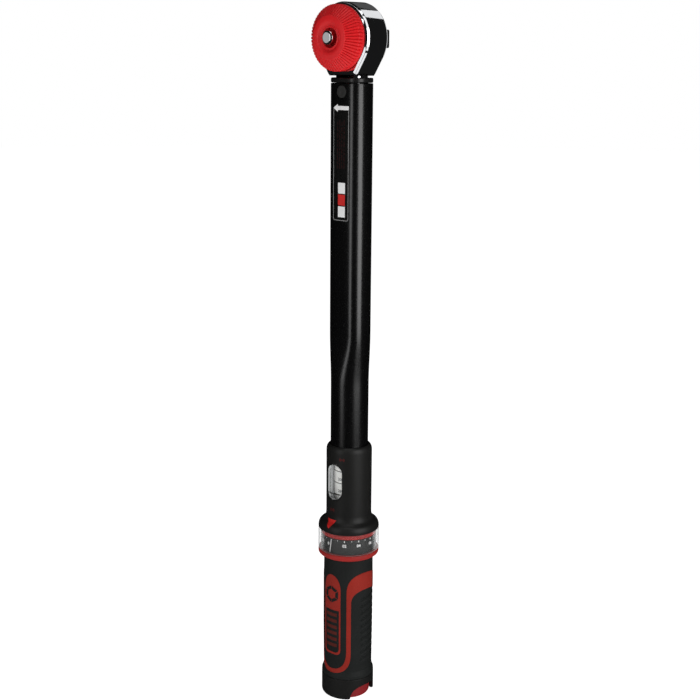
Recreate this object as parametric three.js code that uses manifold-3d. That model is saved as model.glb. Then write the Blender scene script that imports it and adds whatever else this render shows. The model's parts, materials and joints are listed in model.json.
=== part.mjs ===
// Click-type torque wrench with a reversible ratchet head, standing on the flat end of its handle.
// Millimetres, +Z up along the tube. The origin is the centre of the handle's end face.
// The selector knob faces -Y and the output square points along +Y.

import * as THREE from 'three';
import { mergeVertices } from 'three/addons/utils/BufferGeometryUtils.js';
import Module from 'manifold-3d';

const wasm = await Module();
wasm.setup();

// ---------------------------------------------------------------- driving dimensions

const TOTAL_LENGTH = 510;
const GAP = 0.3;              // clearance between pieces that would otherwise touch
const MERGE_DISTANCE = 1e-3;

// Tube: round below, flattened to an oval above
const TUBE_RADIUS = 13.75;
const TUBE_WALL = 2;
const OVAL_WIDTH = 29.6;      // along X
const OVAL_DEPTH = 22;        // along Y
const OVAL_CORNER = 9;
const TUBE_BOTTOM = 44;
const ROUND_TOP = 243;        // round below this height
const OVAL_BOTTOM = 281;      // fully flattened above this height
const TUBE_TOP = 456;
const SEAL_HEIGHT = 3.4;
const SEAL_WALL = 3;

// Head
const HEAD_RADIUS = 24;
const HEAD_Z = TOTAL_LENGTH - HEAD_RADIUS;
const HEAD_FRONT = -11.5;
const HEAD_BACK = 10.6;
const HEAD_CHAMFER = 2;
const SHOULDER_Z = 461;
const SHOULDER_HALF = 12.5;
const WALL_FRONT = 4.5;       // thickness of the wall behind the knob
const PIVOT_Z = 450.3;
const PIVOT_RADIUS = 4.3;
const LEVER_END = 281;
const LEVER_DEPTH = 13.4;
const LEVER_TIP_HALF = 4.5;
const NECK_HALF = 11;
const NECK_WALL = 3.6;        // room between the neck and the tube's outline

// Ratchet
const GEAR_TEETH = 36;
const GEAR_TIP_RADIUS = 14.5;
const GEAR_ROOT_RADIUS = 13.5;
const GEAR_HALF = 6.6;
const BOSS_RADIUS = 11.9;
const BOSS_BACK = 16.3;
const SQUARE = 12.7;          // half-inch output square
const SQUARE_CORNER = 8.6;
const SQUARE_TIP = 32.5;
const SHAFT_BORE = 3.4;
const SHAFT_BORE_END = 14;
const SPRING_BORE = 5.6;
const SPRING_BORE_END = -1;
const TIP_BORE = 2.3;
const BALL_HOLE_START = 1.8;
const POCKET_RADIUS = 15.3;
const RETAINER_FRONT = 7.9;
const RETAINER_BACK = 9.2;
const PAWL_INNER = 15.45;
const PAWL_OUTER = 20;
const PAWL_HALF_ANGLE = 34;   // degrees either side of straight down
const PAWL_HALF_DEPTH = 4.5;
const PAWL_PIN_DROP = 17.9;   // below the drive axis
const PAWL_PIN_RADIUS = 1.5;
const PAWL_PIN_FRONT = -9;
const PAWL_TILT = 4;          // degrees, one end in towards the gear

// Selector knob and release button
const KNOB_RADIUS = 22.2;
const KNOB_RIM = 5.2;         // how far the rim stands forward before the cone starts
const KNOB_FACE_RADIUS = 14.4;
const KNOB_DISH_RADIUS = 10;
const KNOB_HOLE_RADIUS = 6.5;
const KNOB_HOLE_DEPTH = 5;
const KNOB_BASE = -12.3;
const KNOB_FACE = -24.3;
const KNOB_HUB_RADIUS = 7;
const CAM_RADIUS = 8.6;
const CAM_BORE = 4.4;
const CAM_FRONT = HEAD_FRONT - 4;
const CAM_BACK = -7.3;
const BUTTON_RADIUS = 4.8;
const BUTTON_FACE = -26.2;
const BUTTON_TRAVEL = 3.5;
const CAM_STEM_RADIUS = 4;    // the button's stem inside the cam
const STEM_RADIUS = 3;        // inside the gear
const TIP_STEM_RADIUS = 1.9;  // inside the square
const WAIST_RADIUS = 1;       // where the output ball can drop in
const WAIST_START = 19;
const WAIST_END = 25.2;
const STEM_TIP = 29;
const BALL_RADIUS = 2.5;
const BALL_Y = 26;
const BALL_STANDS_OUT = 1.2;
const SELECTOR_BALL_RADIUS = 1.2;
const SELECTOR_BALL_Y = -9.3;
const SELECTOR_HOLE_END = 15.5;

// Click mechanism and setting
const BLOCK_HALF = 5;
const BLOCK_BOTTOM = 263.2;
const BLOCK_TOP = 279.6;
const PLUNGER_TOP = 262;
const PLUNGER_STEP = 236;
const PLUNGER_BOTTOM = 222.6;
const PLUNGER_NECK = 8.4;
const BORE_FIT = 11.3;        // radius of what slides in the round part of the tube
const SPRING_RADIUS = 8.2;
const SPRING_WIRE = 1.1;
const SPRING_TURNS = 10;
const SPRING_TOP = 221.3;
const SEAT_BOTTOM = 150.3;
const SEAT_HEIGHT = 3.2;
const NUT_BOTTOM = 128;
const NUT_STEP = 133.7;
const NUT_NECK = 9.7;
const SLEEVE_TOP = 194;
const SLEEVE_WALL = 1.3;
const SCREW_RADIUS = 5;
const SCREW_TOP = 178;
const SCREW_BOTTOM = 15.4;
const FLANGE_RADIUS = 7.2;
const FLANGE_BOTTOM = 36.5;
const FLANGE_HEIGHT = 3;
const WASHER_HEIGHT = 2.6;
const PLUG_TOP = 58;

// Collar with the window
const COLLAR_RADIUS = 16.75;
const COLLAR_BORE = 14.1;
const COLLAR_TOP = 197.5;
const COLLAR_BOTTOM = 132.8;
const WINDOW_Z = 170.9;
const WINDOW_WIDTH = 13;
const WINDOW_HEIGHT = 27;
const SET_SCREW_RADIUS = 1.5;
const SET_SCREW_Z = 172;

// Dial and handle
const DIAL_RADIUS = 22.5;
const BEZEL_HEIGHT = 3.5;
const LENS_WALL = 1.9;
const SCALE_BOTTOM = 117.2;
const LOWER_BEZEL_BOTTOM = 112;
const BEZEL_LIP = 2.4;
const BEZEL_CHAMFER = 0.8;
const CORE_BORE = 15;
const CORE_RADIUS = 16.6;
const HUB_BOTTOM = 22;
const HUB_TOP = 34;
const GRIP_BOTTOM = 16.7;
const GRIP_RADIUS = 18.4;
const BUSH_HEIGHT = 10;
const BUSH_BOTTOMS = [52, 112];
const SKIRT_RADIUS = 19.6;
const SKIRT_BORE = 16.9;
const SKIRT_FILLET = 2.2;
const SCALLOP_HEIGHT = 10.8;
const SCALLOP_HALF = 13.1;
const RIM_BOTTOM = 13.9;      // underside of the skirt's inner rim
const RIM_RADIUS = 10.8;
const LOCK_RADIUS = 16.5;
const LOCK_TOP = 9.6;
const LOCK_FLOOR = 3.3;
const LOCK_PIN_RADIUS = 1.3;
const LOCK_PIN_PITCH = 9;
const LOCK_HOLES = 8;
const HANDLE_NUT_FLAT = 11;

// Label on the flat of the tube
const LABEL_BOTTOM = 361;
const LABEL_TOP = 441.6;
const LABEL_HALF = 7.3;
const LABEL_THICKNESS = 0.3;

// Facets round a full turn
const COARSE = 16;
const MEDIUM = 28;
const FINE = 36;

// ---------------------------------------------------------------- solids

function signedVolume(points, corners) {
  let sum = 0;
  const [a, b, c] = [new THREE.Vector3(), new THREE.Vector3(), new THREE.Vector3()];
  for (let i = 0; i < corners.length; i += 3) {
    a.fromArray(points, 3 * corners[i]);
    b.fromArray(points, 3 * corners[i + 1]);
    c.fromArray(points, 3 * corners[i + 2]);
    sum += a.dot(b.cross(c)) / 6;
  }
  return sum;
}

// A closed three.js geometry as a solid that can be joined and cut, its faces turned outwards.
function solidOf(geometry) {
  const bare = geometry.clone();
  bare.deleteAttribute('normal');
  bare.deleteAttribute('uv');
  const merged = mergeVertices(bare, MERGE_DISTANCE);
  const points = Float32Array.from(merged.attributes.position.array);
  const corners = [];
  for (let i = 0; i < merged.index.count; i += 3) {
    const [a, b, c] = [0, 1, 2].map((k) => merged.index.getX(i + k));
    if (a !== b && b !== c && c !== a) corners.push(a, b, c);
  }
  if (signedVolume(points, corners) < 0) corners.reverse();
  const mesh = new wasm.Mesh({ numProp: 3, vertProperties: points, triVerts: Uint32Array.from(corners) });
  return new wasm.Manifold(mesh);
}

const join = (first, ...others) => others.reduce((body, other) => body.add(other), first);
const cut = (first, ...others) => others.reduce((body, other) => body.subtract(other), first);

function geometryOf(solid) {
  const mesh = solid.getMesh();
  const geometry = new THREE.BufferGeometry();
  geometry.setAttribute('position', new THREE.BufferAttribute(Float32Array.from(mesh.vertProperties), 3));
  geometry.setIndex(new THREE.BufferAttribute(Uint32Array.from(mesh.triVerts), 1));
  geometry.computeVertexNormals();
  return geometry;
}

const radians = (degrees) => THREE.MathUtils.degToRad(degrees);

// Revolves [radius, height] points about Z. A profile starts and ends on the axis or closes on itself.
function turnedGeometry(profile, facets, start = 0) {
  const points = profile.map(([radius, height]) => new THREE.Vector2(radius, height));
  return new THREE.LatheGeometry(points, facets, start, 2 * Math.PI).rotateX(Math.PI / 2);
}

const turned = (profile, facets) => solidOf(turnedGeometry(profile, facets));

// The same about the drive axis: points are [radius, y].
function turnedOnDrive(profile, facets) {
  const points = profile.map(([radius, y]) => new THREE.Vector2(radius, y));
  return solidOf(new THREE.LatheGeometry(points, facets).translate(0, 0, HEAD_Z));
}

const closedRing = (inner, outer, low, high) => [
  [inner, low],
  [outer, low],
  [outer, high],
  [inner, high],
  [inner, low],
];

const ring = (inner, outer, low, high, facets = MEDIUM) =>
  turned(closedRing(inner, outer, low, high), facets);

const disc = (radius, low, high, facets = MEDIUM) =>
  turned([[0, low], [radius, low], [radius, high], [0, high]], facets);

const driveRing = (inner, outer, low, high, facets = MEDIUM) =>
  turnedOnDrive(closedRing(inner, outer, low, high), facets);

const driveDisc = (radius, low, high, facets = MEDIUM) =>
  turnedOnDrive([[0, low], [radius, low], [radius, high], [0, high]], facets);

// A round rod along Z, moved to x, y.
const rod = (radius, x, y, low, high, facets = 12) => disc(radius, low, high, facets).translate([x, y, 0]);

// A round rod along Y at height z.
function crossRod(radius, front, back, x, z, facets = 24) {
  const geometry = new THREE.CylinderGeometry(radius, radius, back - front, facets);
  return solidOf(geometry.translate(x, (front + back) / 2, z));
}

// A round rod along X at height z and depth y.
function sideRod(radius, left, right, y, z, facets = 16) {
  const geometry = new THREE.CylinderGeometry(radius, radius, right - left, facets).rotateZ(Math.PI / 2);
  return solidOf(geometry.translate((left + right) / 2, y, z));
}

// A shape drawn in X and Z, filled from y = front to y = back.
function slab(shape, front, back, curveSegments = 12) {
  const settings = { depth: back - front, bevelEnabled: false, curveSegments };
  const geometry = new THREE.ExtrudeGeometry(shape, settings);
  return solidOf(geometry.rotateX(Math.PI / 2).translate(0, back, 0));
}

function block(width, depth, low, high) {
  return solidOf(new THREE.BoxGeometry(width, depth, high - low).translate(0, 0, (low + high) / 2));
}

function polygon(points) {
  return new THREE.Shape(points.map(([x, y]) => new THREE.Vector2(x, y)));
}

function roundedRectangle(halfWidth, low, high, radius) {
  const shape = new THREE.Shape();
  shape.moveTo(halfWidth, low + radius);
  shape.absarc(halfWidth - radius, high - radius, radius, 0, Math.PI / 2);
  shape.absarc(radius - halfWidth, high - radius, radius, Math.PI / 2, Math.PI);
  shape.absarc(radius - halfWidth, low + radius, radius, Math.PI, 1.5 * Math.PI);
  shape.absarc(halfWidth - radius, low + radius, radius, 1.5 * Math.PI, 2 * Math.PI);
  return shape;
}

class Helix extends THREE.Curve {
  constructor(radius, low, high, turns) {
    super();
    Object.assign(this, { radius, low, high, turns });
  }

  getPoint(t, target = new THREE.Vector3()) {
    const angle = 2 * Math.PI * this.turns * t;
    return target.set(
      this.radius * Math.cos(angle),
      this.radius * Math.sin(angle),
      THREE.MathUtils.lerp(this.low, this.high, t),
    );
  }
}

// A coil spring about Z whose wire just reaches the two heights.
function coil(radius, wire, low, high, turns, stepsPerTurn = 12) {
  const section = new THREE.Shape().absarc(0, 0, wire, 0, 2 * Math.PI);
  return new THREE.ExtrudeGeometry(section, {
    steps: Math.round(turns * stepsPerTurn),
    extrudePath: new Helix(radius, low + wire, high - wire, turns),
    curveSegments: 3,
    bevelEnabled: false,
  });
}

// A quarter of an ellipse from [radius, z] to [radius, z], as profile points.
function quarter(centreRadius, centreZ, reachRadius, reachZ, from, to, steps = 3) {
  return Array.from({ length: steps + 1 }, (_, i) => {
    const angle = radians(THREE.MathUtils.lerp(from, to, i / steps));
    return [centreRadius + reachRadius * Math.cos(angle), centreZ + reachZ * Math.sin(angle)];
  });
}

// ---------------------------------------------------------------- the wrench as a scene

const wrench = new THREE.Group();

const FINISH = {
  blackTube: { color: 0x0d0d0e, roughness: 0.35, metalness: 0.4 },
  blackPlastic: { color: 0x161616, roughness: 0.6, metalness: 0 },
  rubber: { color: 0x1c1d1c, roughness: 0.85, metalness: 0 },
  redPlastic: { color: 0xd01a1e, roughness: 0.4, metalness: 0 },
  darkRed: { color: 0x9c2a20, roughness: 0.55, metalness: 0 },
  chrome: { color: 0xdfe2e6, roughness: 0.08, metalness: 1 },
  steel: { color: 0x9a9da1, roughness: 0.35, metalness: 0.9 },
  brass: { color: 0xb08d4a, roughness: 0.35, metalness: 0.9 },
  whiteScale: { color: 0xf2f2ee, roughness: 0.5, metalness: 0 },
  darkScale: { color: 0x20211f, roughness: 0.45, metalness: 0 },
  clear: { color: 0xf4f8fa, roughness: 0.05, metalness: 0, transparent: true, opacity: 0.35 },
};

function add(name, shape, finish) {
  const geometry = shape.isBufferGeometry ? shape : geometryOf(shape);
  const mesh = new THREE.Mesh(geometry, new THREE.MeshStandardMaterial(FINISH[finish]));
  mesh.name = name;
  wrench.add(mesh);
  return mesh;
}

// ---------------------------------------------------------------- tube

const smooth = (t) => t * t * (3 - 2 * t);
const flattening = (z) => smooth(THREE.MathUtils.clamp((z - ROUND_TOP) / (OVAL_BOTTOM - ROUND_TOP), 0, 1));

// Squeezes a turned shape into the tube's section: round below, a rounded rectangle above.
function squeezeToTube(geometry) {
  const place = geometry.attributes.position;
  for (let i = 0; i < place.count; i += 1) {
    const [x, y, z] = [place.getX(i), place.getY(i), place.getZ(i)];
    if (Math.hypot(x, y) < MERGE_DISTANCE) continue;
    const amount = flattening(z);
    const inset = TUBE_RADIUS - Math.hypot(x, y);
    const corner = THREE.MathUtils.lerp(TUBE_RADIUS, OVAL_CORNER, amount) - inset;
    const angle = Math.atan2(y, x);
    const straightX = amount * (OVAL_WIDTH / 2 - OVAL_CORNER) * Math.sign(Math.cos(angle));
    const straightY = amount * (OVAL_DEPTH / 2 - OVAL_CORNER) * Math.sign(Math.sin(angle));
    place.setXY(i, straightX + corner * Math.cos(angle), straightY + corner * Math.sin(angle));
  }
  return geometry;
}

// Starting half a facet round keeps the section's flats between two corners.
const tubeSection = (profile, facets = 36) =>
  solidOf(squeezeToTube(turnedGeometry(profile, facets, Math.PI / facets)));

function tube() {
  const blendSteps = 5;
  const blend = Array.from({ length: blendSteps + 1 }, (_, i) =>
    THREE.MathUtils.lerp(ROUND_TOP, OVAL_BOTTOM, i / blendSteps));
  const heights = [TUBE_BOTTOM, ...blend, TUBE_TOP];
  const inner = TUBE_RADIUS - TUBE_WALL;
  const profile = [
    ...heights.map((z) => [TUBE_RADIUS, z]),
    ...heights.toReversed().map((z) => [inner, z]),
    [TUBE_RADIUS, TUBE_BOTTOM],
  ];
  const slotHalf = WINDOW_WIDTH / 2 - 0.5;
  const slotReach = WINDOW_HEIGHT / 2 + 1.5;
  const slotShape = roundedRectangle(slotHalf, WINDOW_Z - slotReach, WINDOW_Z + slotReach, slotHalf - 0.1);
  const pinHole = crossRod(PIVOT_RADIUS + GAP, -OVAL_DEPTH, OVAL_DEPTH, 0, PIVOT_Z);
  return cut(tubeSection(profile), pinHole, slab(slotShape, -2 * TUBE_RADIUS, 0, 6));
}

function headSeal() {
  const low = TUBE_TOP + GAP;
  const high = low + SEAL_HEIGHT;
  const edge = 0.9;
  return tubeSection([
    [TUBE_RADIUS - SEAL_WALL, low],
    [TUBE_RADIUS - edge, low],
    [TUBE_RADIUS, low + edge],
    [TUBE_RADIUS, high - edge],
    [TUBE_RADIUS - edge, high],
    [TUBE_RADIUS - SEAL_WALL, high],
    [TUBE_RADIUS - SEAL_WALL, low],
  ]);
}

const pivotPin = () => crossRod(PIVOT_RADIUS, 0.1 - OVAL_DEPTH / 2, OVAL_DEPTH / 2 - 0.1, 0, PIVOT_Z);

function dataLabel() {
  const back = -OVAL_DEPTH / 2 - GAP;
  return slab(roundedRectangle(LABEL_HALF, LABEL_BOTTOM, LABEL_TOP, 1.5), back - LABEL_THICKNESS, back, 4);
}

const endPlug = () => {
  const holes = Array.from({ length: LOCK_HOLES }, (_, i) => {
    const angle = (2 * Math.PI * i) / LOCK_HOLES;
    const [x, y] = [LOCK_PIN_PITCH * Math.cos(angle), LOCK_PIN_PITCH * Math.sin(angle)];
    return rod(LOCK_PIN_RADIUS + GAP, x, y, TUBE_BOTTOM - 1, TUBE_BOTTOM + 8, 10);
  });
  return cut(ring(SCREW_RADIUS + GAP, TUBE_RADIUS - TUBE_WALL - GAP, TUBE_BOTTOM, PLUG_TOP), ...holes);
};

// ---------------------------------------------------------------- ratchet head

// The disc of the head and its tapered shoulders, closed along the bottom.
function headOutline() {
  const drop = SHOULDER_Z - HEAD_Z;
  const reach = Math.hypot(SHOULDER_HALF, drop);
  const tangent = Math.atan2(drop, SHOULDER_HALF) + Math.acos(HEAD_RADIUS / reach);
  const shape = new THREE.Shape();
  shape.moveTo(-SHOULDER_HALF, SHOULDER_Z);
  shape.lineTo(SHOULDER_HALF, SHOULDER_Z);
  shape.absarc(0, HEAD_Z, HEAD_RADIUS, tangent, Math.PI - tangent);
  return shape;
}

function chamferedHead() {
  const geometry = new THREE.ExtrudeGeometry(headOutline(), {
    depth: HEAD_BACK - HEAD_FRONT - 2 * HEAD_CHAMFER,
    bevelThickness: HEAD_CHAMFER,
    bevelSize: HEAD_CHAMFER,
    bevelOffset: -HEAD_CHAMFER,
    bevelSegments: 1,
    curveSegments: 20,
  });
  return solidOf(geometry.rotateX(Math.PI / 2).translate(0, HEAD_BACK - HEAD_CHAMFER, 0));
}

// Seen from the front: the neck, then a bar that tapers down to the tilt block.
function leverOutline() {
  const taperStart = PIVOT_Z - 8;
  const taperEnd = PIVOT_Z - 22;
  return polygon([
    [NECK_HALF, SHOULDER_Z + HEAD_CHAMFER + 1],
    [-NECK_HALF, SHOULDER_Z + HEAD_CHAMFER + 1],
    [-NECK_HALF, taperStart],
    [-LEVER_TIP_HALF, taperEnd],
    [-LEVER_TIP_HALF, LEVER_END],
    [LEVER_TIP_HALF, LEVER_END],
    [LEVER_TIP_HALF, taperEnd],
    [NECK_HALF, taperStart],
  ]);
}

// A sector about the drive axis, centred straight down.
function sector(inner, outer, halfAngle) {
  const [from, to] = [radians(270 - halfAngle), radians(270 + halfAngle)];
  const shape = new THREE.Shape();
  shape.absarc(0, HEAD_Z, outer, from, to);
  if (inner > 0) shape.absarc(0, HEAD_Z, inner, to, from, true);
  else shape.lineTo(0, HEAD_Z);
  return shape;
}

// The neck and bar are rounded off to sit inside the oval of the tube.
function lever() {
  const reach = TUBE_RADIUS - NECK_WALL;
  const [low, high] = [LEVER_END - 1, HEAD_Z];
  const inside = tubeSection([[0, low], [reach, low], [reach, high], [0, high]]);
  return slab(leverOutline(), -LEVER_DEPTH / 2, LEVER_DEPTH / 2).intersect(inside);
}

function headBody() {
  const wallBack = HEAD_FRONT + WALL_FRONT;
  const pocketDepth = PAWL_HALF_DEPTH + 0.6;
  const pawlPocket = slab(sector(0, PAWL_OUTER + 1.2, PAWL_HALF_ANGLE + 8), -pocketDepth, pocketDepth, 10);
  return cut(
    join(chamferedHead(), lever()),
    driveDisc(POCKET_RADIUS, wallBack, HEAD_BACK + 1),
    driveDisc(POCKET_RADIUS + 0.7, RETAINER_FRONT - GAP, RETAINER_BACK + GAP),
    driveDisc(CAM_RADIUS + 0.4, HEAD_FRONT - 1, wallBack + 1),
    pawlPocket,
    crossRod(PAWL_PIN_RADIUS + GAP, PAWL_PIN_FRONT - GAP, HEAD_BACK + 1, 0, HEAD_Z - PAWL_PIN_DROP, 12),
    crossRod(PIVOT_RADIUS + GAP, -OVAL_DEPTH, OVAL_DEPTH, 0, PIVOT_Z),
    sideRod(SELECTOR_BALL_RADIUS + GAP, CAM_RADIUS - 1, SELECTOR_HOLE_END, SELECTOR_BALL_Y, HEAD_Z, 10),
  );
}

// A spring ring in its groove in the head, open over a wedge at the upper right.
function gearRetainer() {
  const [near, far] = [9, 30];
  const wedge = polygon([[0, HEAD_Z], [far, HEAD_Z + near], [far, HEAD_Z + far], [near, HEAD_Z + far]]);
  return cut(
    driveRing(BOSS_RADIUS + GAP, POCKET_RADIUS + 0.4, RETAINER_FRONT, RETAINER_BACK),
    slab(wedge, RETAINER_FRONT - 1, RETAINER_BACK + 1),
  );
}

function toothedOutline() {
  const points = [];
  const pitch = 360 / GEAR_TEETH;
  for (let i = 0; i < GEAR_TEETH; i += 1) {
    for (const [turn, radius] of [[0, GEAR_ROOT_RADIUS], [0.38, GEAR_TIP_RADIUS], [0.62, GEAR_TIP_RADIUS]]) {
      const angle = radians((i + turn) * pitch);
      points.push([radius * Math.cos(angle), HEAD_Z + radius * Math.sin(angle)]);
    }
  }
  return polygon(points);
}

function driveGear() {
  const chamfer = 1.2;
  const squareBar = new THREE.BoxGeometry(SQUARE, SQUARE_TIP - BOSS_BACK + 1, SQUARE);
  const square = solidOf(squareBar.translate(0, (SQUARE_TIP + BOSS_BACK - 1) / 2, HEAD_Z));
  const envelope = turnedOnDrive([
    [0, 0],
    [SQUARE_CORNER, 0],
    [SQUARE_CORNER, SQUARE_TIP - chamfer],
    [SQUARE_CORNER - 2 * chamfer, SQUARE_TIP],
    [0, SQUARE_TIP],
  ], MEDIUM);
  return cut(
    join(
      slab(toothedOutline(), -GEAR_HALF, GEAR_HALF),
      driveDisc(BOSS_RADIUS, 0, BOSS_BACK),
      square.intersect(envelope),
    ),
    driveDisc(SPRING_BORE, -GEAR_HALF - 1, SPRING_BORE_END),
    driveDisc(SHAFT_BORE, SPRING_BORE_END - 1, SHAFT_BORE_END, COARSE),
    driveDisc(TIP_BORE, SHAFT_BORE_END - 1, SQUARE_TIP + 1, COARSE),
    sideRod(BALL_RADIUS + GAP, BALL_HOLE_START, SQUARE, BALL_Y, HEAD_Z),
  );
}

// A rocking pawl: a curved bar under the gear, toothed at both ends, tilted to one side.
function pawl() {
  const outline = [];
  const toothAngle = 360 / GEAR_TEETH;
  const at = (radius, degrees) => [
    radius * Math.sin(radians(degrees)),
    HEAD_Z - radius * Math.cos(radians(degrees)),
  ];
  for (let degrees = -PAWL_HALF_ANGLE; degrees <= PAWL_HALF_ANGLE; degrees += toothAngle / 2) {
    const isTip = Math.round((degrees + PAWL_HALF_ANGLE) / (toothAngle / 2)) % 2 === 1;
    const toothed = Math.abs(degrees) > PAWL_HALF_ANGLE / 3;
    outline.push(at(isTip && toothed ? PAWL_INNER : PAWL_INNER + 0.9, degrees));
  }
  for (let degrees = PAWL_HALF_ANGLE; degrees >= -PAWL_HALF_ANGLE; degrees -= PAWL_HALF_ANGLE / 3) {
    outline.push(at(PAWL_OUTER, degrees));
  }
  const pinZ = HEAD_Z - PAWL_PIN_DROP;
  const bar = slab(polygon(outline), -PAWL_HALF_DEPTH, PAWL_HALF_DEPTH);
  const bored = cut(bar, crossRod(PAWL_PIN_RADIUS + GAP, -8, 8, 0, pinZ, 12));
  return bored.translate([0, 0, -pinZ]).rotate([0, PAWL_TILT, 0]).translate([0, 0, pinZ]);
}

const pawlPin = () =>
  crossRod(PAWL_PIN_RADIUS, PAWL_PIN_FRONT, HEAD_BACK - 0.2, 0, HEAD_Z - PAWL_PIN_DROP, 12);

function selectorCam() {
  const hub = KNOB_HUB_RADIUS - GAP;
  return turnedOnDrive([
    [CAM_BORE, CAM_BACK],
    [CAM_RADIUS, CAM_BACK],
    [CAM_RADIUS, HEAD_FRONT],
    [hub, HEAD_FRONT],
    [hub, CAM_FRONT],
    [CAM_BORE, CAM_FRONT],
    [CAM_BORE, CAM_BACK],
  ], MEDIUM);
}

// A shallow cone with a dished front; the hub below is hollow for the cam.
function selectorKnob() {
  return turnedOnDrive([
    [KNOB_HUB_RADIUS, KNOB_BASE],
    [KNOB_RADIUS - 0.6, KNOB_BASE],
    [KNOB_RADIUS, KNOB_BASE - 0.6],
    [KNOB_RADIUS, KNOB_BASE - KNOB_RIM],
    [KNOB_FACE_RADIUS + 0.7, KNOB_FACE + 0.6],
    [KNOB_FACE_RADIUS - 0.5, KNOB_FACE],
    [KNOB_DISH_RADIUS, KNOB_FACE],
    [KNOB_HOLE_RADIUS + 0.4, KNOB_FACE + 1.6],
    [KNOB_HOLE_RADIUS, KNOB_FACE + 2.2],
    [KNOB_HOLE_RADIUS, KNOB_FACE + KNOB_HOLE_DEPTH],
    [BUTTON_RADIUS + 0.4, KNOB_FACE + KNOB_HOLE_DEPTH],
    [BUTTON_RADIUS + 0.4, CAM_FRONT - 0.4],
    [KNOB_HUB_RADIUS, CAM_FRONT - 0.4],
    [KNOB_HUB_RADIUS, KNOB_BASE],
  ], FINE);
}

// The button's stem runs right through the gear; its waist lets the output ball drop when pressed.
function releaseButton() {
  const shoulder = CAM_FRONT - BUTTON_TRAVEL - GAP;
  const stemStart = -GEAR_HALF - 2.9;
  const stemEnd = SHAFT_BORE_END - BUTTON_TRAVEL - 0.2;
  return turnedOnDrive([
    [0, BUTTON_FACE],
    [BUTTON_RADIUS - 1.2, BUTTON_FACE],
    [BUTTON_RADIUS, BUTTON_FACE + 0.8],
    [BUTTON_RADIUS, shoulder],
    [CAM_STEM_RADIUS, shoulder],
    [CAM_STEM_RADIUS, stemStart],
    [STEM_RADIUS, stemStart],
    [STEM_RADIUS, stemEnd],
    [TIP_STEM_RADIUS, stemEnd],
    [TIP_STEM_RADIUS, WAIST_START],
    [WAIST_RADIUS, WAIST_START],
    [WAIST_RADIUS, WAIST_END],
    [TIP_STEM_RADIUS, WAIST_END],
    [TIP_STEM_RADIUS, STEM_TIP],
    [0, STEM_TIP],
  ], COARSE);
}

const onDriveAxis = (geometry, y) => geometry.rotateX(-Math.PI / 2).translate(0, y, HEAD_Z);

const releaseSpring = () => onDriveAxis(coil(4.5, 0.4, 0, 4.3, 3, 10), -5.7);

const outputBall = () =>
  new THREE.SphereGeometry(BALL_RADIUS, 14, 8)
    .translate(SQUARE / 2 + BALL_STANDS_OUT - BALL_RADIUS, BALL_Y, HEAD_Z);

const selectorBall = () =>
  new THREE.SphereGeometry(SELECTOR_BALL_RADIUS, 8, 6)
    .translate(CAM_RADIUS + GAP + SELECTOR_BALL_RADIUS + 0.3, SELECTOR_BALL_Y, HEAD_Z);

const selectorSpring = () =>
  coil(0.8, 0.25, 0, 3, 3, 8).rotateY(Math.PI / 2).translate(12, SELECTOR_BALL_Y, HEAD_Z);

// ---------------------------------------------------------------- click mechanism and setting

const tiltBlock = () => block(2 * BLOCK_HALF, 2 * BLOCK_HALF, BLOCK_BOTTOM, BLOCK_TOP);

const plunger = () => turned([
  [0, PLUNGER_BOTTOM],
  [BORE_FIT, PLUNGER_BOTTOM],
  [BORE_FIT, PLUNGER_STEP],
  [PLUNGER_NECK, PLUNGER_STEP + 3],
  [PLUNGER_NECK, PLUNGER_TOP],
  [0, PLUNGER_TOP],
], MEDIUM);

const mainSpring = () =>
  coil(SPRING_RADIUS, SPRING_WIRE, SEAT_BOTTOM + SEAT_HEIGHT + GAP, SPRING_TOP, SPRING_TURNS, 10);

const springSeat = () => ring(SCREW_RADIUS + 0.6, NUT_NECK - 0.2, SEAT_BOTTOM, SEAT_BOTTOM + SEAT_HEIGHT);

const adjustingNut = () => turned([
  [SCREW_RADIUS + GAP, NUT_BOTTOM],
  [BORE_FIT, NUT_BOTTOM],
  [BORE_FIT, NUT_STEP],
  [NUT_NECK, NUT_STEP],
  [NUT_NECK, SEAT_BOTTOM - GAP],
  [SCREW_RADIUS + GAP, SEAT_BOTTOM - GAP],
  [SCREW_RADIUS + GAP, NUT_BOTTOM],
], MEDIUM);

const scaleSleeve = () => ring(BORE_FIT - SLEEVE_WALL, BORE_FIT, NUT_STEP + GAP, SLEEVE_TOP);

const leadScrew = () => turned([
  [0, SCREW_BOTTOM],
  [SCREW_RADIUS - 0.8, SCREW_BOTTOM],
  [SCREW_RADIUS, SCREW_BOTTOM + 0.8],
  [SCREW_RADIUS, FLANGE_BOTTOM],
  [FLANGE_RADIUS, FLANGE_BOTTOM],
  [FLANGE_RADIUS, FLANGE_BOTTOM + FLANGE_HEIGHT],
  [SCREW_RADIUS, FLANGE_BOTTOM + FLANGE_HEIGHT],
  [SCREW_RADIUS, SCREW_TOP - 1],
  [SCREW_RADIUS - 1, SCREW_TOP],
  [0, SCREW_TOP],
], 24);

function thrustWasher() {
  const low = FLANGE_BOTTOM + FLANGE_HEIGHT + GAP;
  return ring(SCREW_RADIUS + GAP, FLANGE_RADIUS, low, low + WASHER_HEIGHT, 24);
}

// ---------------------------------------------------------------- collar and window

const windowOutline = (margin) => {
  const halfWidth = WINDOW_WIDTH / 2 - margin;
  const low = WINDOW_Z - WINDOW_HEIGHT / 2 + margin;
  const high = WINDOW_Z + WINDOW_HEIGHT / 2 - margin;
  return roundedRectangle(halfWidth, low, high, halfWidth - 0.1);
};

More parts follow.
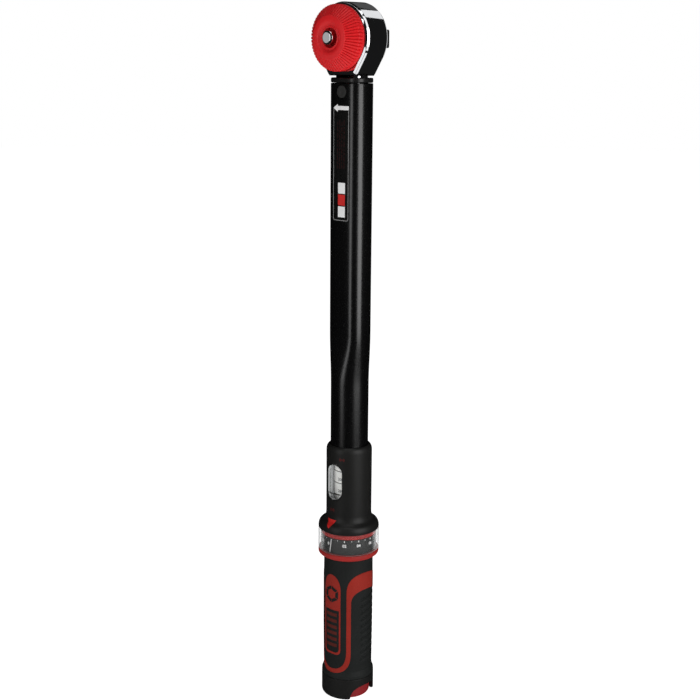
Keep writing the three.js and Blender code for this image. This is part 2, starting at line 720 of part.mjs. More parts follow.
function collar() {
  const flare = { across: 3.2, up: 5 };
  const hollow = { across: 3, up: 6 };
  const lip = { across: 2.6, up: 4.5 };
  const profile = [
    [COLLAR_BORE, COLLAR_BOTTOM],
    [DIAL_RADIUS - 0.5, COLLAR_BOTTOM],
    ...quarter(DIAL_RADIUS - flare.across, COLLAR_BOTTOM + 1.4, flare.across, flare.up, 0, 72),
    ...quarter(COLLAR_RADIUS + hollow.across, COLLAR_BOTTOM + 12.6, hollow.across, hollow.up, 245, 180),
    ...quarter(COLLAR_RADIUS - lip.across, COLLAR_TOP - lip.up, lip.across, lip.up, 0, 90),
    [COLLAR_BORE, COLLAR_TOP - 1],
    [COLLAR_BORE, COLLAR_BOTTOM],
  ];
  return cut(
    turned(profile, FINE),
    slab(windowOutline(0), -2 * COLLAR_RADIUS, 0, 8),
    crossRod(SET_SCREW_RADIUS + GAP, 0, 2 * COLLAR_RADIUS, 0, SET_SCREW_Z, 12),
  );
}

function windowLens() {
  const shell = ring(COLLAR_BORE + GAP, COLLAR_RADIUS + 0.2, WINDOW_Z - 20, WINDOW_Z + 20, 2 * MEDIUM);
  return shell.intersect(slab(windowOutline(GAP), -2 * COLLAR_RADIUS, 0, 8));
}

function collarScrew() {
  const outline = crossRod(SET_SCREW_RADIUS, COLLAR_BORE - 0.1, COLLAR_RADIUS - 0.3, 0, SET_SCREW_Z, 12);
  const socket = new THREE.CylinderGeometry(0.8, 0.8, 2, 6).translate(0, COLLAR_RADIUS, SET_SCREW_Z);
  return cut(outline, solidOf(socket));
}

// ---------------------------------------------------------------- dial and handle

const SCALE_RADIUS = DIAL_RADIUS - LENS_WALL - GAP;
const SCALE_TOP = COLLAR_BOTTOM - 2 * GAP - BEZEL_HEIGHT;

// The upper bezel and the scale ring both show through the clear ring round them.
const upperBezel = () => {
  const high = COLLAR_BOTTOM - GAP;
  const low = high - BEZEL_HEIGHT;
  return turned([
    [COLLAR_BORE + 0.2, low],
    [SCALE_RADIUS, low],
    [SCALE_RADIUS, high - BEZEL_CHAMFER],
    [SCALE_RADIUS - BEZEL_CHAMFER, high],
    [COLLAR_BORE + 0.2, high],
    [COLLAR_BORE + 0.2, low],
  ], FINE);
};

const scaleRing = () => ring(CORE_RADIUS + GAP, SCALE_RADIUS, SCALE_BOTTOM, SCALE_TOP, FINE);

const dialLens = () => ring(SCALE_RADIUS + GAP, DIAL_RADIUS, SCALE_BOTTOM, COLLAR_BOTTOM - GAP, FINE);

const lowerBezel = () => {
  const high = SCALE_BOTTOM - GAP;
  const lip = high - BEZEL_LIP;
  const neck = GRIP_RADIUS - 0.1;
  return turned([
    [CORE_RADIUS + GAP, LOWER_BEZEL_BOTTOM],
    [neck, LOWER_BEZEL_BOTTOM],
    ...quarter(neck, lip, DIAL_RADIUS - neck, lip - LOWER_BEZEL_BOTTOM, -78, 0),
    [DIAL_RADIUS, high],
    [CORE_RADIUS + GAP, high],
    [CORE_RADIUS + GAP, LOWER_BEZEL_BOTTOM],
  ], FINE);
};

const lockPinPlaces = [LOCK_PIN_PITCH, -LOCK_PIN_PITCH];

function handleCore() {
  const shell = turned([
    [SCREW_RADIUS + GAP, HUB_BOTTOM],
    [CORE_RADIUS, HUB_BOTTOM],
    [CORE_RADIUS, SCALE_TOP],
    [CORE_BORE, SCALE_TOP],
    [CORE_BORE, HUB_TOP],
    [SCREW_RADIUS + GAP, HUB_TOP],
    [SCREW_RADIUS + GAP, HUB_BOTTOM],
  ], FINE);
  const pinHoles = lockPinPlaces.map((x) => rod(LOCK_PIN_RADIUS + GAP, x, 0, HUB_BOTTOM - 1, HUB_TOP + 1));
  return cut(shell, ...pinHoles);
}

const handleBush = (low) => ring(TUBE_RADIUS + 0.25, CORE_BORE - 0.25, low, low + BUSH_HEIGHT);

// The rubber sleeve swells slightly in the palm and flares out to the skirt.
const gripSleeve = () => {
  const top = LOWER_BEZEL_BOTTOM - GAP;
  const [flareEnd, waist, palmFoot, palmStart, palmEnd] = [22, 24.5, 40, 60, 95];
  return turned([
    [CORE_RADIUS + GAP, GRIP_BOTTOM],
    [SKIRT_RADIUS, GRIP_BOTTOM],
    [SKIRT_RADIUS - 0.2, GRIP_BOTTOM + 2.3],
    [GRIP_RADIUS, flareEnd],
    [GRIP_RADIUS - 0.4, waist],
    [GRIP_RADIUS - 0.2, palmFoot],
    [GRIP_RADIUS, palmStart],
    [GRIP_RADIUS, palmEnd],
    [GRIP_RADIUS - 0.2, top],
    [CORE_RADIUS + GAP, top],
    [CORE_RADIUS + GAP, GRIP_BOTTOM],
  ], FINE);
};

// The scallop: an arch, flat-sided and rounded over the top, drawn in Y and Z and run along X.
function scallops() {
  const steps = 14;
  const arch = Array.from({ length: steps + 1 }, (_, i) => {
    const angle = Math.PI * (i / steps);
    const across = Math.sign(Math.cos(angle)) * Math.abs(Math.cos(angle)) ** 0.7;
    return [SCALLOP_HALF * across, SCALLOP_HEIGHT * Math.sin(angle) ** 0.8];
  });
  const outline = polygon([[SCALLOP_HALF, -1], ...arch, [-SCALLOP_HALF, -1]]);
  return slab(outline, -2 * SKIRT_RADIUS, 2 * SKIRT_RADIUS).rotate([0, 0, 90]);
}

function endSkirt() {
  const high = GRIP_BOTTOM - GAP;
  return cut(
    turned([
      [SKIRT_BORE, 0],
      [SKIRT_RADIUS - SKIRT_FILLET, 0],
      ...quarter(SKIRT_RADIUS - SKIRT_FILLET, SKIRT_FILLET, SKIRT_FILLET, SKIRT_FILLET, -60, 0),
      [SKIRT_RADIUS, high],
      [RIM_RADIUS, high],
      [RIM_RADIUS, RIM_BOTTOM],
      [SKIRT_BORE, RIM_BOTTOM],
      [SKIRT_BORE, 0],
    ], FINE),
    cut(scallops(), disc(SKIRT_BORE - 1, -2, RIM_BOTTOM)),
  );
}

function handleNut() {
  const corner = HANDLE_NUT_FLAT / Math.sqrt(3);
  const hexagon = turnedGeometry(
    [[0, RIM_BOTTOM + 2], [corner, RIM_BOTTOM + 2], [corner, HUB_BOTTOM - GAP], [0, HUB_BOTTOM - GAP]], 6);
  return cut(solidOf(hexagon), disc(SCREW_RADIUS + 0.2, 0, HUB_TOP, 24));
}

// A cup held inside the skirt, its rounded foot level with the skirt's end.
function lockKnob() {
  const fillet = 2.4;
  return turned([
    [0, 0],
    [LOCK_RADIUS - fillet, 0],
    ...quarter(LOCK_RADIUS - fillet, fillet, fillet, fillet, -60, 0),
    [LOCK_RADIUS, LOCK_TOP],
    [LOCK_RADIUS - 3, LOCK_TOP],
    [LOCK_RADIUS - 3, LOCK_FLOOR],
    [0, LOCK_FLOOR],
  ], FINE);
}

const lockPin = (x) => rod(LOCK_PIN_RADIUS, x, 0, LOCK_FLOOR + GAP, TUBE_BOTTOM - 1.5);

const lockSpring = () => coil(12, 0.6, LOCK_FLOOR + GAP, RIM_BOTTOM - GAP, 2.5, 14);

// ---------------------------------------------------------------- assembly

add('tube', tube(), 'blackTube');
add('head_seal', headSeal(), 'blackPlastic');
add('pivot_pin', pivotPin(), 'steel');
add('data_label', dataLabel(), 'darkScale');
add('end_plug', endPlug(), 'steel');
add('collar', collar(), 'blackPlastic');
add('window_lens', windowLens(), 'clear');
add('collar_screw', collarScrew(), 'steel');

add('head_body', headBody(), 'chrome');
add('gear_retainer', gearRetainer(), 'steel');
add('pawl_pin', pawlPin(), 'steel');
add('selector_ball', selectorBall(), 'steel');
add('selector_spring', selectorSpring(), 'steel');
add('pawl', pawl(), 'steel');
add('selector_cam', selectorCam(), 'steel');
add('selector_knob', selectorKnob(), 'redPlastic');
add('drive_gear', driveGear(), 'chrome');
add('release_spring', releaseSpring(), 'steel');
add('release_button', releaseButton(), 'chrome');
add('output_ball', outputBall(), 'chrome');

add('tilt_block', tiltBlock(), 'steel');
add('plunger', plunger(), 'steel');
add('main_spring', mainSpring(), 'steel');
add('spring_seat', springSeat(), 'steel');
add('adjusting_nut', adjustingNut(), 'brass');
add('scale_sleeve', scaleSleeve(), 'whiteScale');

add('lead_screw', leadScrew(), 'steel');
add('thrust_washer', thrustWasher(), 'brass');
add('upper_bezel', upperBezel(), 'redPlastic');
add('scale_ring', scaleRing(), 'darkScale');
add('dial_lens', dialLens(), 'clear');
add('lower_bezel', lowerBezel(), 'redPlastic');
add('handle_core', handleCore(), 'darkRed');
add('grip_sleeve', gripSleeve(), 'rubber');
add('end_skirt', endSkirt(), 'blackPlastic');
add('handle_nut', handleNut(), 'steel');
BUSH_BOTTOMS.forEach((low, i) => add(`handle_bush_${i + 1}`, handleBush(low), 'brass'));

add('lock_knob', lockKnob(), 'redPlastic');
lockPinPlaces.forEach((x, i) => add(`lock_pin_${i + 1}`, lockPin(x), 'steel'));
add('lock_spring', lockSpring(), 'steel');

export default wrench;
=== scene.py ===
"""The looks of a click-type torque wrench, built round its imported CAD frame.

Shapes are worked out in millimetres, +Z up along the tube, and turned to metres as each mesh is made.
Azimuth 0 faces -Y, where the selector knob is, and grows towards +X.
"""

import json
import math

import bmesh
import bpy
import numpy as np
from mathutils import Matrix, Vector

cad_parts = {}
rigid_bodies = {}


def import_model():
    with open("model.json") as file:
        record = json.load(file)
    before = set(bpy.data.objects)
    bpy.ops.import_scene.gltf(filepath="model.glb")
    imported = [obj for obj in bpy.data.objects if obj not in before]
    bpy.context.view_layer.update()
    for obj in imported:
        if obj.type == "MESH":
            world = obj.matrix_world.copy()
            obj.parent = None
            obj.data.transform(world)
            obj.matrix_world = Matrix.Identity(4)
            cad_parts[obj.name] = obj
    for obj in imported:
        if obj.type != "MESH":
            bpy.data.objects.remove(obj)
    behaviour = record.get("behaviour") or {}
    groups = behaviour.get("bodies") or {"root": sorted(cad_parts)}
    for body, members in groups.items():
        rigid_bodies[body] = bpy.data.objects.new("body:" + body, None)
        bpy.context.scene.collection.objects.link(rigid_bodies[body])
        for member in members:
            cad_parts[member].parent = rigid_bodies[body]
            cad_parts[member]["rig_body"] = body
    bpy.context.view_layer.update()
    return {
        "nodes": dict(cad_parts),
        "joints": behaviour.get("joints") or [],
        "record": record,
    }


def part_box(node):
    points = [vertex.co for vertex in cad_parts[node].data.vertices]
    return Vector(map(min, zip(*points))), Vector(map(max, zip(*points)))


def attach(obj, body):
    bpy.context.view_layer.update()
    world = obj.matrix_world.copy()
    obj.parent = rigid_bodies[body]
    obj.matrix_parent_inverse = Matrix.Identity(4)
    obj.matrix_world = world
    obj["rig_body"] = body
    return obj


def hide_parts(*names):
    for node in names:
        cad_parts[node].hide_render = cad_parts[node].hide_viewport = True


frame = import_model()

MM = 0.001
TURN = 2 * math.pi
TINY = 1e-6
GAP = 0.3  # clearance that neighbouring CAD pieces keep
SEGMENTS = 192  # facets round a full turn
SHARP = 35  # degrees between faces from which an edge is drawn sharp
PRINT = (0.1, 0.16)  # how far the underside and the top of the label's ink stand off the tube
CAMERA_AZIMUTH = 42  # degrees from -Y towards +X


# ---- sizes from the frame


def box(node):
    """The lowest and highest corners of a CAD node, in millimetres."""
    low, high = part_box(node)
    return low / MM, high / MM


def joint_height(name):
    joint = next(j for j in frame["joints"] if j["name"] == name)
    return joint["pos_m"][2] / MM


def reach(node):
    """The outer radius of a round node that stands on the Z axis."""
    return box(node)[1].x


DRIVE_Z = joint_height("drive_spin")
PIVOT_Z = joint_height("head_click")

TUBE_LOW, TUBE_HIGH = box("tube")
OVAL_HALF_WIDTH = TUBE_HIGH.x
OVAL_HALF_DEPTH = -box("pivot_pin")[0].y + 0.1
OVAL_CORNER = 9
ROUND_RADIUS = reach("handle_bush_1") - 1
ROUND_TOP = 243
OVAL_BOTTOM = 281
TUBE_WALL = 2

LENS_LOW, LENS_HIGH = box("window_lens")
LENS_RADIUS = -LENS_LOW.y
COLLAR_RADIUS = LENS_RADIUS - 0.2
WINDOW_Z = (LENS_LOW.z + LENS_HIGH.z) / 2
WINDOW_INDEX_Z = 162.3
WINDOW_HALF_WIDTH = LENS_HIGH.x + GAP
WINDOW_HALF_HEIGHT = (LENS_HIGH.z - LENS_LOW.z) / 2 + GAP

DIAL_LOW, DIAL_HIGH = box("dial_lens")
DIAL_RADIUS = DIAL_HIGH.x
SCALE_RADIUS = reach("scale_ring")
GRIP_LOW, GRIP_HIGH = box("grip_sleeve")
SKIRT_LOW, SKIRT_HIGH = box("end_skirt")
SKIRT_RADIUS = SKIRT_HIGH.x
GRIP_RADIUS = SKIRT_RADIUS - 1.2
HEAD_LOW, HEAD_HIGH = box("head_body")
HEAD_FRONT, HEAD_BACK = HEAD_LOW.y, HEAD_HIGH.y
HEAD_RADIUS = HEAD_HIGH.z - DRIVE_Z


# ---- meshes


def added(name, data):
    """A new object in the scene."""
    thing = bpy.data.objects.new(name, data)
    bpy.context.scene.collection.objects.link(thing)
    return thing


def object_from(name, verts, faces):
    """A mesh object from points in millimetres, with its faces turned outwards."""
    mesh = bpy.data.meshes.new(name)
    mesh.from_pydata([tuple(c * MM for c in v) for v in verts], [], faces)
    piece = added(name, mesh)
    work = bmesh.new()
    work.from_mesh(mesh)
    bmesh.ops.recalc_face_normals(work, faces=work.faces)
    work.to_mesh(mesh)
    work.free()
    return piece


def band(first, second):
    """The faces between two rings of points; a ring of one point is a pole."""
    if len(first) == 1 and len(second) == 1:
        return []
    count = max(len(first), len(second))
    faces = []
    for i in range(count):
        j = (i + 1) % count
        if len(first) == 1:
            faces.append((first[0], second[j], second[i]))
        elif len(second) == 1:
            faces.append((first[i], first[j], second[0]))
        else:
            faces.append((first[i], first[j], second[j], second[i]))
    return faces


def sideways(y):
    """Places round a line along +X that crosses the drive axis; height is then x."""
    return lambda radius, angle, x: (x, y + radius * math.cos(angle), DRIVE_Z + radius * math.sin(angle))


def lofted(name, rings):
    """A closed solid through rings of points. The last ring joins the first, or both are poles."""
    verts, indices, faces = [], [], []
    for points in rings:
        indices.append(range(len(verts), len(verts) + len(points)))
        verts.extend(points)
    for i, ring in enumerate(indices):
        faces += band(ring, indices[(i + 1) % len(indices)])
    return object_from(name, verts, faces)


def upright(radius, angle, height):
    """A place round the Z axis."""
    return (radius * math.sin(angle), -radius * math.cos(angle), height)


def on_drive(radius, angle, y):
    """A place round the drive axis; angle 0 points along +X and a quarter turn along +Z."""
    return (radius * math.cos(angle), y, DRIVE_Z + radius * math.sin(angle))


def normals_of(profile):
    """Unit vectors across a closed outline, pointing out of it."""
    points = [Vector(p) for p in profile]
    count = len(points)
    area = sum(points[i - 1].cross(points[i]) for i in range(count))
    side = 1 if area > 0 else -1
    out = []
    for i in range(count):
        along = points[(i + 1) % count] - points[i - 1]
        out.append(Vector((along.y, -along.x)).normalized() * side)
    return out


def revolved(name, profile, where=upright, segments=SEGMENTS, sink=None):
    """Turns a closed outline of (radius, height) about its axis.

    sink(angle, radius, height) says how far a point moves in, across the outline.
    """
    angles = [TURN * i / segments for i in range(segments)]
    rings = []
    for (radius, height), normal in zip(profile, normals_of(profile)):
        if radius < TINY:
            rings.append([where(0, 0, height)])
            continue
        ring = []
        for angle in angles:
            depth = sink(angle, radius, height) if sink else 0
            ring.append(where(radius - normal.x * depth, angle, height - normal.y * depth))
        rings.append(ring)
    return lofted(name, rings)


def filleted(corners, steps=6):
    """An outline with rounded corners, from (radius, height, fillet) corners."""
    points = []
    for i, (radius, height, fillet) in enumerate(corners):
        here = Vector((radius, height))
        if fillet == 0:
            points.append(here)
            continue
        before = (Vector(corners[i - 1][:2]) - here).normalized()
        after = (Vector(corners[(i + 1) % len(corners)][:2]) - here).normalized()
        half = before.angle(after) / 2
        centre = here + (before + after).normalized() * (fillet / math.sin(half))
        start = here + before * (fillet / math.tan(half)) - centre
        end = here + after * (fillet / math.tan(half)) - centre
        points += [centre + start.slerp(end, k / steps) * fillet for k in range(steps + 1)]
    return points


def ring_outline(inner, outer, low, high, bore_fillet=0, low_fillet=0, high_fillet=0):
    """The outline of a plain ring, with fillets at its bore and at its outer low and high edges."""
    return filleted([
        (inner, low, bore_fillet), (outer, low, low_fillet),
        (outer, high, high_fillet), (inner, high, bore_fillet),
    ])


def plug(radius, low, high):
    """The outline of a plain cylinder."""
    return [Vector((0, low)), Vector((radius, low)), Vector((radius, high)), Vector((0, high))]


def arc(centre_radius, centre_height, reach_radius, reach_height, start, end, steps=10):
    """Part of an ellipse, as outline points."""
    points = []
    for k in range(steps + 1):
        angle = math.radians(start + (end - start) * k / steps)
        points.append(Vector((
            centre_radius + reach_radius * math.cos(angle),
            centre_height + reach_height * math.sin(angle),
        )))
    return points


def dense_line(points, step):
    """An open line with its long stretches divided."""
    out = []
    for here, after in zip(points, points[1:]):
        parts = max(1, math.ceil((after - here).length / step))
        out += [here.lerp(after, k / parts) for k in range(parts)]
    return [*out, points[-1]]


def dense(profile, step):
    """A closed outline with its long sides divided."""
    return dense_line([*profile, profile[0]], step)[:-1]


def prism(name, outline, front, back):
    """A cutter: an outline of (x, z) points filled from y = front to y = back."""
    count = len(outline)
    verts = [(x, y, z) for y in (front, back) for x, z in outline]
    sides = [(i, (i + 1) % count, count + (i + 1) % count, count + i) for i in range(count)]
    return object_from(name, verts, [tuple(range(count)), tuple(range(count, 2 * count)), *sides])


def circle(radius, x, z, steps=48):
    return [(x + radius * math.cos(TURN * k / steps), z + radius * math.sin(TURN * k / steps))
            for k in range(steps)]


def stadium(half_width, half_height, z, steps=24):
    """An upright slot with round ends."""
    straight = half_height - half_width
    points = []
    for k in range(2 * steps):
        angle = math.pi * (k + 0.5) / steps
        rise = straight if angle < math.pi else -straight
        points.append((half_width * math.cos(angle), z + rise + half_width * math.sin(angle)))
    return points


def window_prism(name, half_width, half_height, reach_out):
    """A solid in the window's outline, from the Z axis out past the front."""
    return prism(name, stadium(half_width, half_height, WINDOW_Z), -2 * reach_out, 0)


def weld(mesh):
    """Merges corners that lie on top of each other and closes the slivers a cut can leave."""
    work = bmesh.new()
    work.from_mesh(mesh)
    bmesh.ops.remove_doubles(work, verts=work.verts, dist=0.002 * MM)
    bmesh.ops.holes_fill(work, edges=[edge for edge in work.edges if edge.is_boundary], sides=4)
    work.to_mesh(mesh)
    work.free()


def evaluated_mesh(piece):
    """A new mesh of what an object's modifiers or its curve give."""
    depsgraph = bpy.context.evaluated_depsgraph_get()
    return bpy.data.meshes.new_from_object(piece.evaluated_get(depsgraph))


def combine(piece, operation, *tools):
    """Joins, cuts or intersects a piece with others, which are used up."""
    for tool in tools:
        modifier = piece.modifiers.new("combine", "BOOLEAN")
        modifier.operation = operation
        modifier.solver = "EXACT"
        modifier.object = tool
        mesh = evaluated_mesh(piece)
        piece.modifiers.clear()
        old = piece.data
        piece.data = mesh
        bpy.data.meshes.remove(old)
        bpy.data.objects.remove(tool)
    return piece


def carve(piece, *tools):
    return combine(piece, "DIFFERENCE", *tools)


def place(piece, look, node, replace=True, sharp=SHARP):
    """Shades a finished piece, gives it its material and hangs it on the CAD node's body."""
    mesh = piece.data
    mesh.shade_smooth()
    mesh.set_sharp_from_angle(angle=math.radians(sharp))
    mesh.materials.clear()
    mesh.materials.append(LOOKS[look])
    INKS.get(look, look)
    if replace:
        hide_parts(node)
    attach(piece, frame["nodes"][node]["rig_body"])
    return piece


def turned(name, profile, look, node, **how):
    """A revolved piece that stands for a CAD node."""
    return place(revolved(name, profile, **how), look, node)


# ---- thin shapes laid on a surface


def slab(rows, surface, low, high):
    """A thin solid on a surface, from rows of flat (u, v) points. surface(u, v, out) gives the place."""
    height, width = len(rows), len(rows[0])
    flat = [point for row in rows for point in row]
    verts = [surface(u, v, high) for u, v in flat] + [surface(u, v, low) for u, v in flat]
    under = height * width
    faces = []
    for r in range(height - 1):
        for c in range(width - 1):
            a = r * width + c
            quad = (a, a + 1, a + width + 1, a + width)
            faces.append(quad)
            faces.append(tuple(under + i for i in reversed(quad)))
    edge = list(range(width))
    edge += [r * width + width - 1 for r in range(1, height)]
    edge += [(height - 1) * width + c for c in range(width - 2, -1, -1)]
    edge += [r * width for r in range(height - 2, 0, -1)]
    for i, a in enumerate(edge):
        b = edge[(i + 1) % len(edge)]
        faces.append((a, under + a, under + b, b))
    return verts, faces


def gathered(name, parts):
    """One object made of many separate thin solids."""
    verts, faces = [], []
    for part_verts, part_faces in parts:
        start = len(verts)
        verts += part_verts
        faces += [tuple(start + i for i in face) for face in part_faces]
    return object_from(name, verts, faces)


def printed(name, parts, look, node):
    """Thin shapes laid on a CAD node's surface, as one piece that rides with it."""
    place(gathered(name, parts), look, node, replace=False)


def rectangle(u0, u1, v0, v1, columns=2, rows=2):
    """Rows of points over a flat rectangle."""
    return [[(u0 + (u1 - u0) * c / (columns - 1), v0 + (v1 - v0) * r / (rows - 1))
             for c in range(columns)] for r in range(rows)]


def between(left, right, columns=7):
    """Rows of points across a strip with two given edges."""
    return [[tuple(p + (q - p) * c / (columns - 1) for p, q in zip(a, b)) for c in range(columns)]
            for a, b in zip(left, right)]


def text_part(words, size, u, v, per_mm, surface, low, high):
    """Numerals laid on a surface, centred on (u, v). per_mm is the change of u over a millimetre."""
    curve = bpy.data.curves.new("numerals", "FONT")
    curve.body = words
    curve.size = size
    curve.align_x = "CENTER"
    curve.align_y = "CENTER"
    curve.extrude = 0.5
    curve.offset = 0.03 * size
    curve.resolution_u = 4
    holder = added("numerals", curve)
    mesh = evaluated_mesh(holder)
    work = bmesh.new()
    work.from_mesh(mesh)
    bmesh.ops.remove_doubles(work, verts=work.verts, dist=TINY)
    verts = []
    for vert in work.verts:
        out = low + (high - low) * (vert.co.z + 0.5)
        verts.append(surface(u + vert.co.x * per_mm, v + vert.co.y, out))
    faces = [tuple(loop.vert.index for loop in face.loops) for face in work.faces]
    work.free()
    bpy.data.objects.remove(holder)
    bpy.data.meshes.remove(mesh)
    bpy.data.curves.remove(curve)
    return verts, faces


def bezier(a, b, c, d, steps):
    """Points along a cubic curve, its first one left out."""
    points = []
    for k in range(1, steps + 1):
        t = k / steps
        points.append(tuple(
            (1 - t) ** 3 * p + 3 * t * (1 - t) ** 2 * q + 3 * t * t * (1 - t) * r + t ** 3 * s
            for p, q, r, s in zip(a, b, c, d)
        ))
    return points


# ---- materials


def nodes_of(name):
    material = bpy.data.materials.new(name)
    material.use_nodes = True
    tree = material.node_tree
    return material, tree, tree.nodes["Principled BSDF"]


def set_inputs(node, **values):
    """Sets a node's inputs by name, with underscores for spaces."""
    for name, value in values.items():
        node.inputs[name.replace("_", " ")].default_value = value
    return node


def new_node(tree, kind, **values):
    return set_inputs(tree.nodes.new("ShaderNode" + kind), **values)


def noise(tree, scale, stretch=(1, 1, 1)):
    """Noise in object space, its scale in turns to the metre."""
    place_node = new_node(tree, "TexCoord")
    mapping = new_node(tree, "Mapping", Scale=stretch)
    texture = new_node(tree, "TexNoise", Scale=scale, Detail=4)
    tree.links.new(place_node.outputs["Object"], mapping.inputs["Vector"])
    tree.links.new(mapping.outputs["Vector"], texture.inputs["Vector"])
    return texture.outputs["Fac"]


def spread(tree, value, low, high, start=0.3, end=0.7):
    """A noise value turned into a range of another quantity."""
    change = new_node(tree, "MapRange", From_Min=start, From_Max=end, To_Min=low, To_Max=high)
    tree.links.new(value, change.inputs["Value"])
    return change.outputs["Result"]


def bumped(tree, shader, height, strength, depth):
    """A fine relief from a noise value, its depth in millimetres."""
    bump = new_node(tree, "Bump", Strength=strength, Distance=depth * MM)
    tree.links.new(height, bump.inputs["Height"])
    tree.links.new(bump.outputs["Normal"], shader.inputs["Normal"])


def surface_look(name, colour, roughness, grain, depth, metallic=0.0, mottle=0.12, vary=0.05,
                 stretch=(1, 1, 1), specular=0.5):
    """A surface with mottled colour, uneven roughness and a fine bump.

    grain is the bump's scale in turns to the metre and depth its height in millimetres.
    """
    material, tree, shader = nodes_of(name)
    large = noise(tree, 60, stretch=stretch)
    fine = noise(tree, grain, stretch=stretch)
    mix = new_node(tree, "Mix")
    mix.data_type = "RGBA"
    dark = [c * (1 - mottle) for c in colour]
    light = [min(1, c * (1 + mottle)) for c in colour]
    mix.inputs["A"].default_value = (*dark, 1)
    mix.inputs["B"].default_value = (*light, 1)
    tree.links.new(spread(tree, large, 0, 1), mix.inputs["Factor"])
    tree.links.new(mix.outputs["Result"], shader.inputs["Base Color"])
    rough = spread(tree, fine, max(0.02, roughness - vary), roughness + vary)
    tree.links.new(rough, shader.inputs["Roughness"])
    bumped(tree, shader, fine, 0.6, depth)
    set_inputs(shader, Metallic=metallic, Specular_IOR_Level=specular)
    return material


def ink(name, colour, roughness=0.45, **changes):
    """A flat printed colour."""
    return surface_look(name, colour, roughness, 2400, 0.005, **changes)


def clear_look(name, painted_edge_reflection, start=0.5, end=0.95):
    """Clear moulded plastic: nearly open face on, and painted whiter where it is seen edge on, a painted
    reflection over the shader's real gloss.

    start and end say how far from face on, from 0 to 1, the whitening begins and is complete.
    """
    material, tree, shader = nodes_of(name)
    set_inputs(shader, Base_Color=(0.78, 0.8, 0.8, 1))
    fine = noise(tree, 350)
    tree.links.new(spread(tree, fine, 0.05, 0.1), shader.inputs["Roughness"])
    # Painted reflection: the white base turns opaque towards edge on, where clear plastic shows
    # reflections.
    weight = new_node(tree, "LayerWeight", Blend=0.5)
    alpha = spread(tree, weight.outputs["Facing"], 0.015, painted_edge_reflection, start=start, end=end)
    tree.links.new(alpha, shader.inputs["Alpha"])
    bumped(tree, shader, fine, 0.2, 0.002)
    return material


LOOKS = {
    "tube_enamel": surface_look("black_enamel", (0.0012, 0.0012, 0.0013), 0.25, 700, 0.001, vary=0.03,
                                specular=0.75),
    "seal_rubber": surface_look("seal_rubber", (0.005, 0.005, 0.005), 0.32, 1500, 0.006),
    "black_plastic": surface_look("black_plastic", (0.009, 0.009, 0.0085), 0.44, 2600, 0.02,
                                  specular=0.3),
    "grip_rubber": surface_look("grip_rubber", (0.0105, 0.012, 0.0115), 0.6, 2200, 0.04, vary=0.08,
                                specular=0.2),
    "label": surface_look("label_film", (0.003, 0.003, 0.003), 0.3, 700, 0.001),
    "chrome": surface_look("chrome", (0.82, 0.83, 0.85), 0.055, 500, 0.0008, metallic=1.0,
                           mottle=0.03, vary=0.02),
    "steel": surface_look("machined_steel", (0.42, 0.43, 0.45), 0.32, 1400, 0.01, metallic=1.0,
                          stretch=(1, 1, 6)),
    "brass": surface_look("brass", (0.62, 0.43, 0.17), 0.3, 1400, 0.01, metallic=1.0,
                          stretch=(1, 1, 6)),
    "red_plastic": surface_look("red_plastic", (0.56, 0.01, 0.013), 0.38, 1800, 0.012, mottle=0.06,
                                specular=0.25),
    "core_red": surface_look("grip_red", (0.24, 0.01, 0.0035), 0.5, 2200, 0.03, mottle=0.1,
                             specular=0.2),
    # The bezels' red is red plastic painted darker: painted shade for the light that falls off lower down
    # the wrench.
    "shaded_bezel_red": surface_look("shaded_bezel_red", (0.3, 0.009, 0.007), 0.45, 1800, 0.012, specular=0.3),
    # The lock knob's red is red plastic painted darker still: painted shade for its place inside the
    # skirt's scallop.
    "shaded_lock_red": surface_look("shaded_lock_red", (0.22, 0.004, 0.007), 0.45, 1800, 0.012, specular=0.3),
    "deep_red": surface_look("deep_red", (0.085, 0.009, 0.005), 0.55, 2200, 0.03, specular=0.2),
    "white_scale": surface_look("white_scale", (0.88, 0.88, 0.85), 0.4, 1200, 0.004, mottle=0.04),
    "dark_scale": surface_look("dark_scale", (0.02, 0.021, 0.02), 0.45, 1600, 0.01),
    # Both clear looks paint a reflection by whitening towards edge on; the window's starts nearer face on.
    "clear": clear_look("clear_plastic", 0.75),
    "window_clear": clear_look("window_plastic", 0.65, start=0.33, end=0.56),
    "white_ink": ink("white_ink", (0.7, 0.7, 0.7), mottle=0.05),
    "grey_ink": ink("grey_ink", (0.26, 0.26, 0.26)),
    "black_ink": ink("black_ink", (0.01, 0.01, 0.01), roughness=0.5),
    "red_ink": ink("red_ink", (0.5, 0.012, 0.01), roughness=0.42, mottle=0.08, specular=0.3),
    "label_mark_ink": ink("label_mark_ink", (0.02, 0.0035, 0.0035), specular=0.3),
    "dark_pin": surface_look("dark_pin", (0.02, 0.02, 0.019), 0.5, 1800, 0.01),
    "faint_ink": ink("faint_red_ink", (0.075, 0.005, 0.005), specular=0.3),
}
POLISHED = []  # the pieces that the reflector cards light
INKS = {  # the CAD material slot that each look drawn here only belongs to
    "window_clear": "clear",
    "white_ink": "white_scale",
    "grey_ink": "label",
    "black_ink": "dark_scale",
    "red_ink": "red_plastic",
    "faint_ink": "core_red",
    "shaded_bezel_red": "red_plastic",
    "shaded_lock_red": "red_plastic",
    "deep_red": "core_red",
    "label_mark_ink": "core_red",
    "dark_pin": "steel",
}


def finish_cad_nodes():
    """Procedural finishes on the CAD nodes that stay, most of them inside."""
    for subpart in frame["record"]["subparts"]:
        mesh = frame["nodes"][subpart["node"]].data
        mesh.materials.clear()
        mesh.materials.append(LOOKS[subpart["material_slot"]])


# ---- tube


def ease(t):
    t = min(1, max(0, t))
    return t * t * (3 - 2 * t)


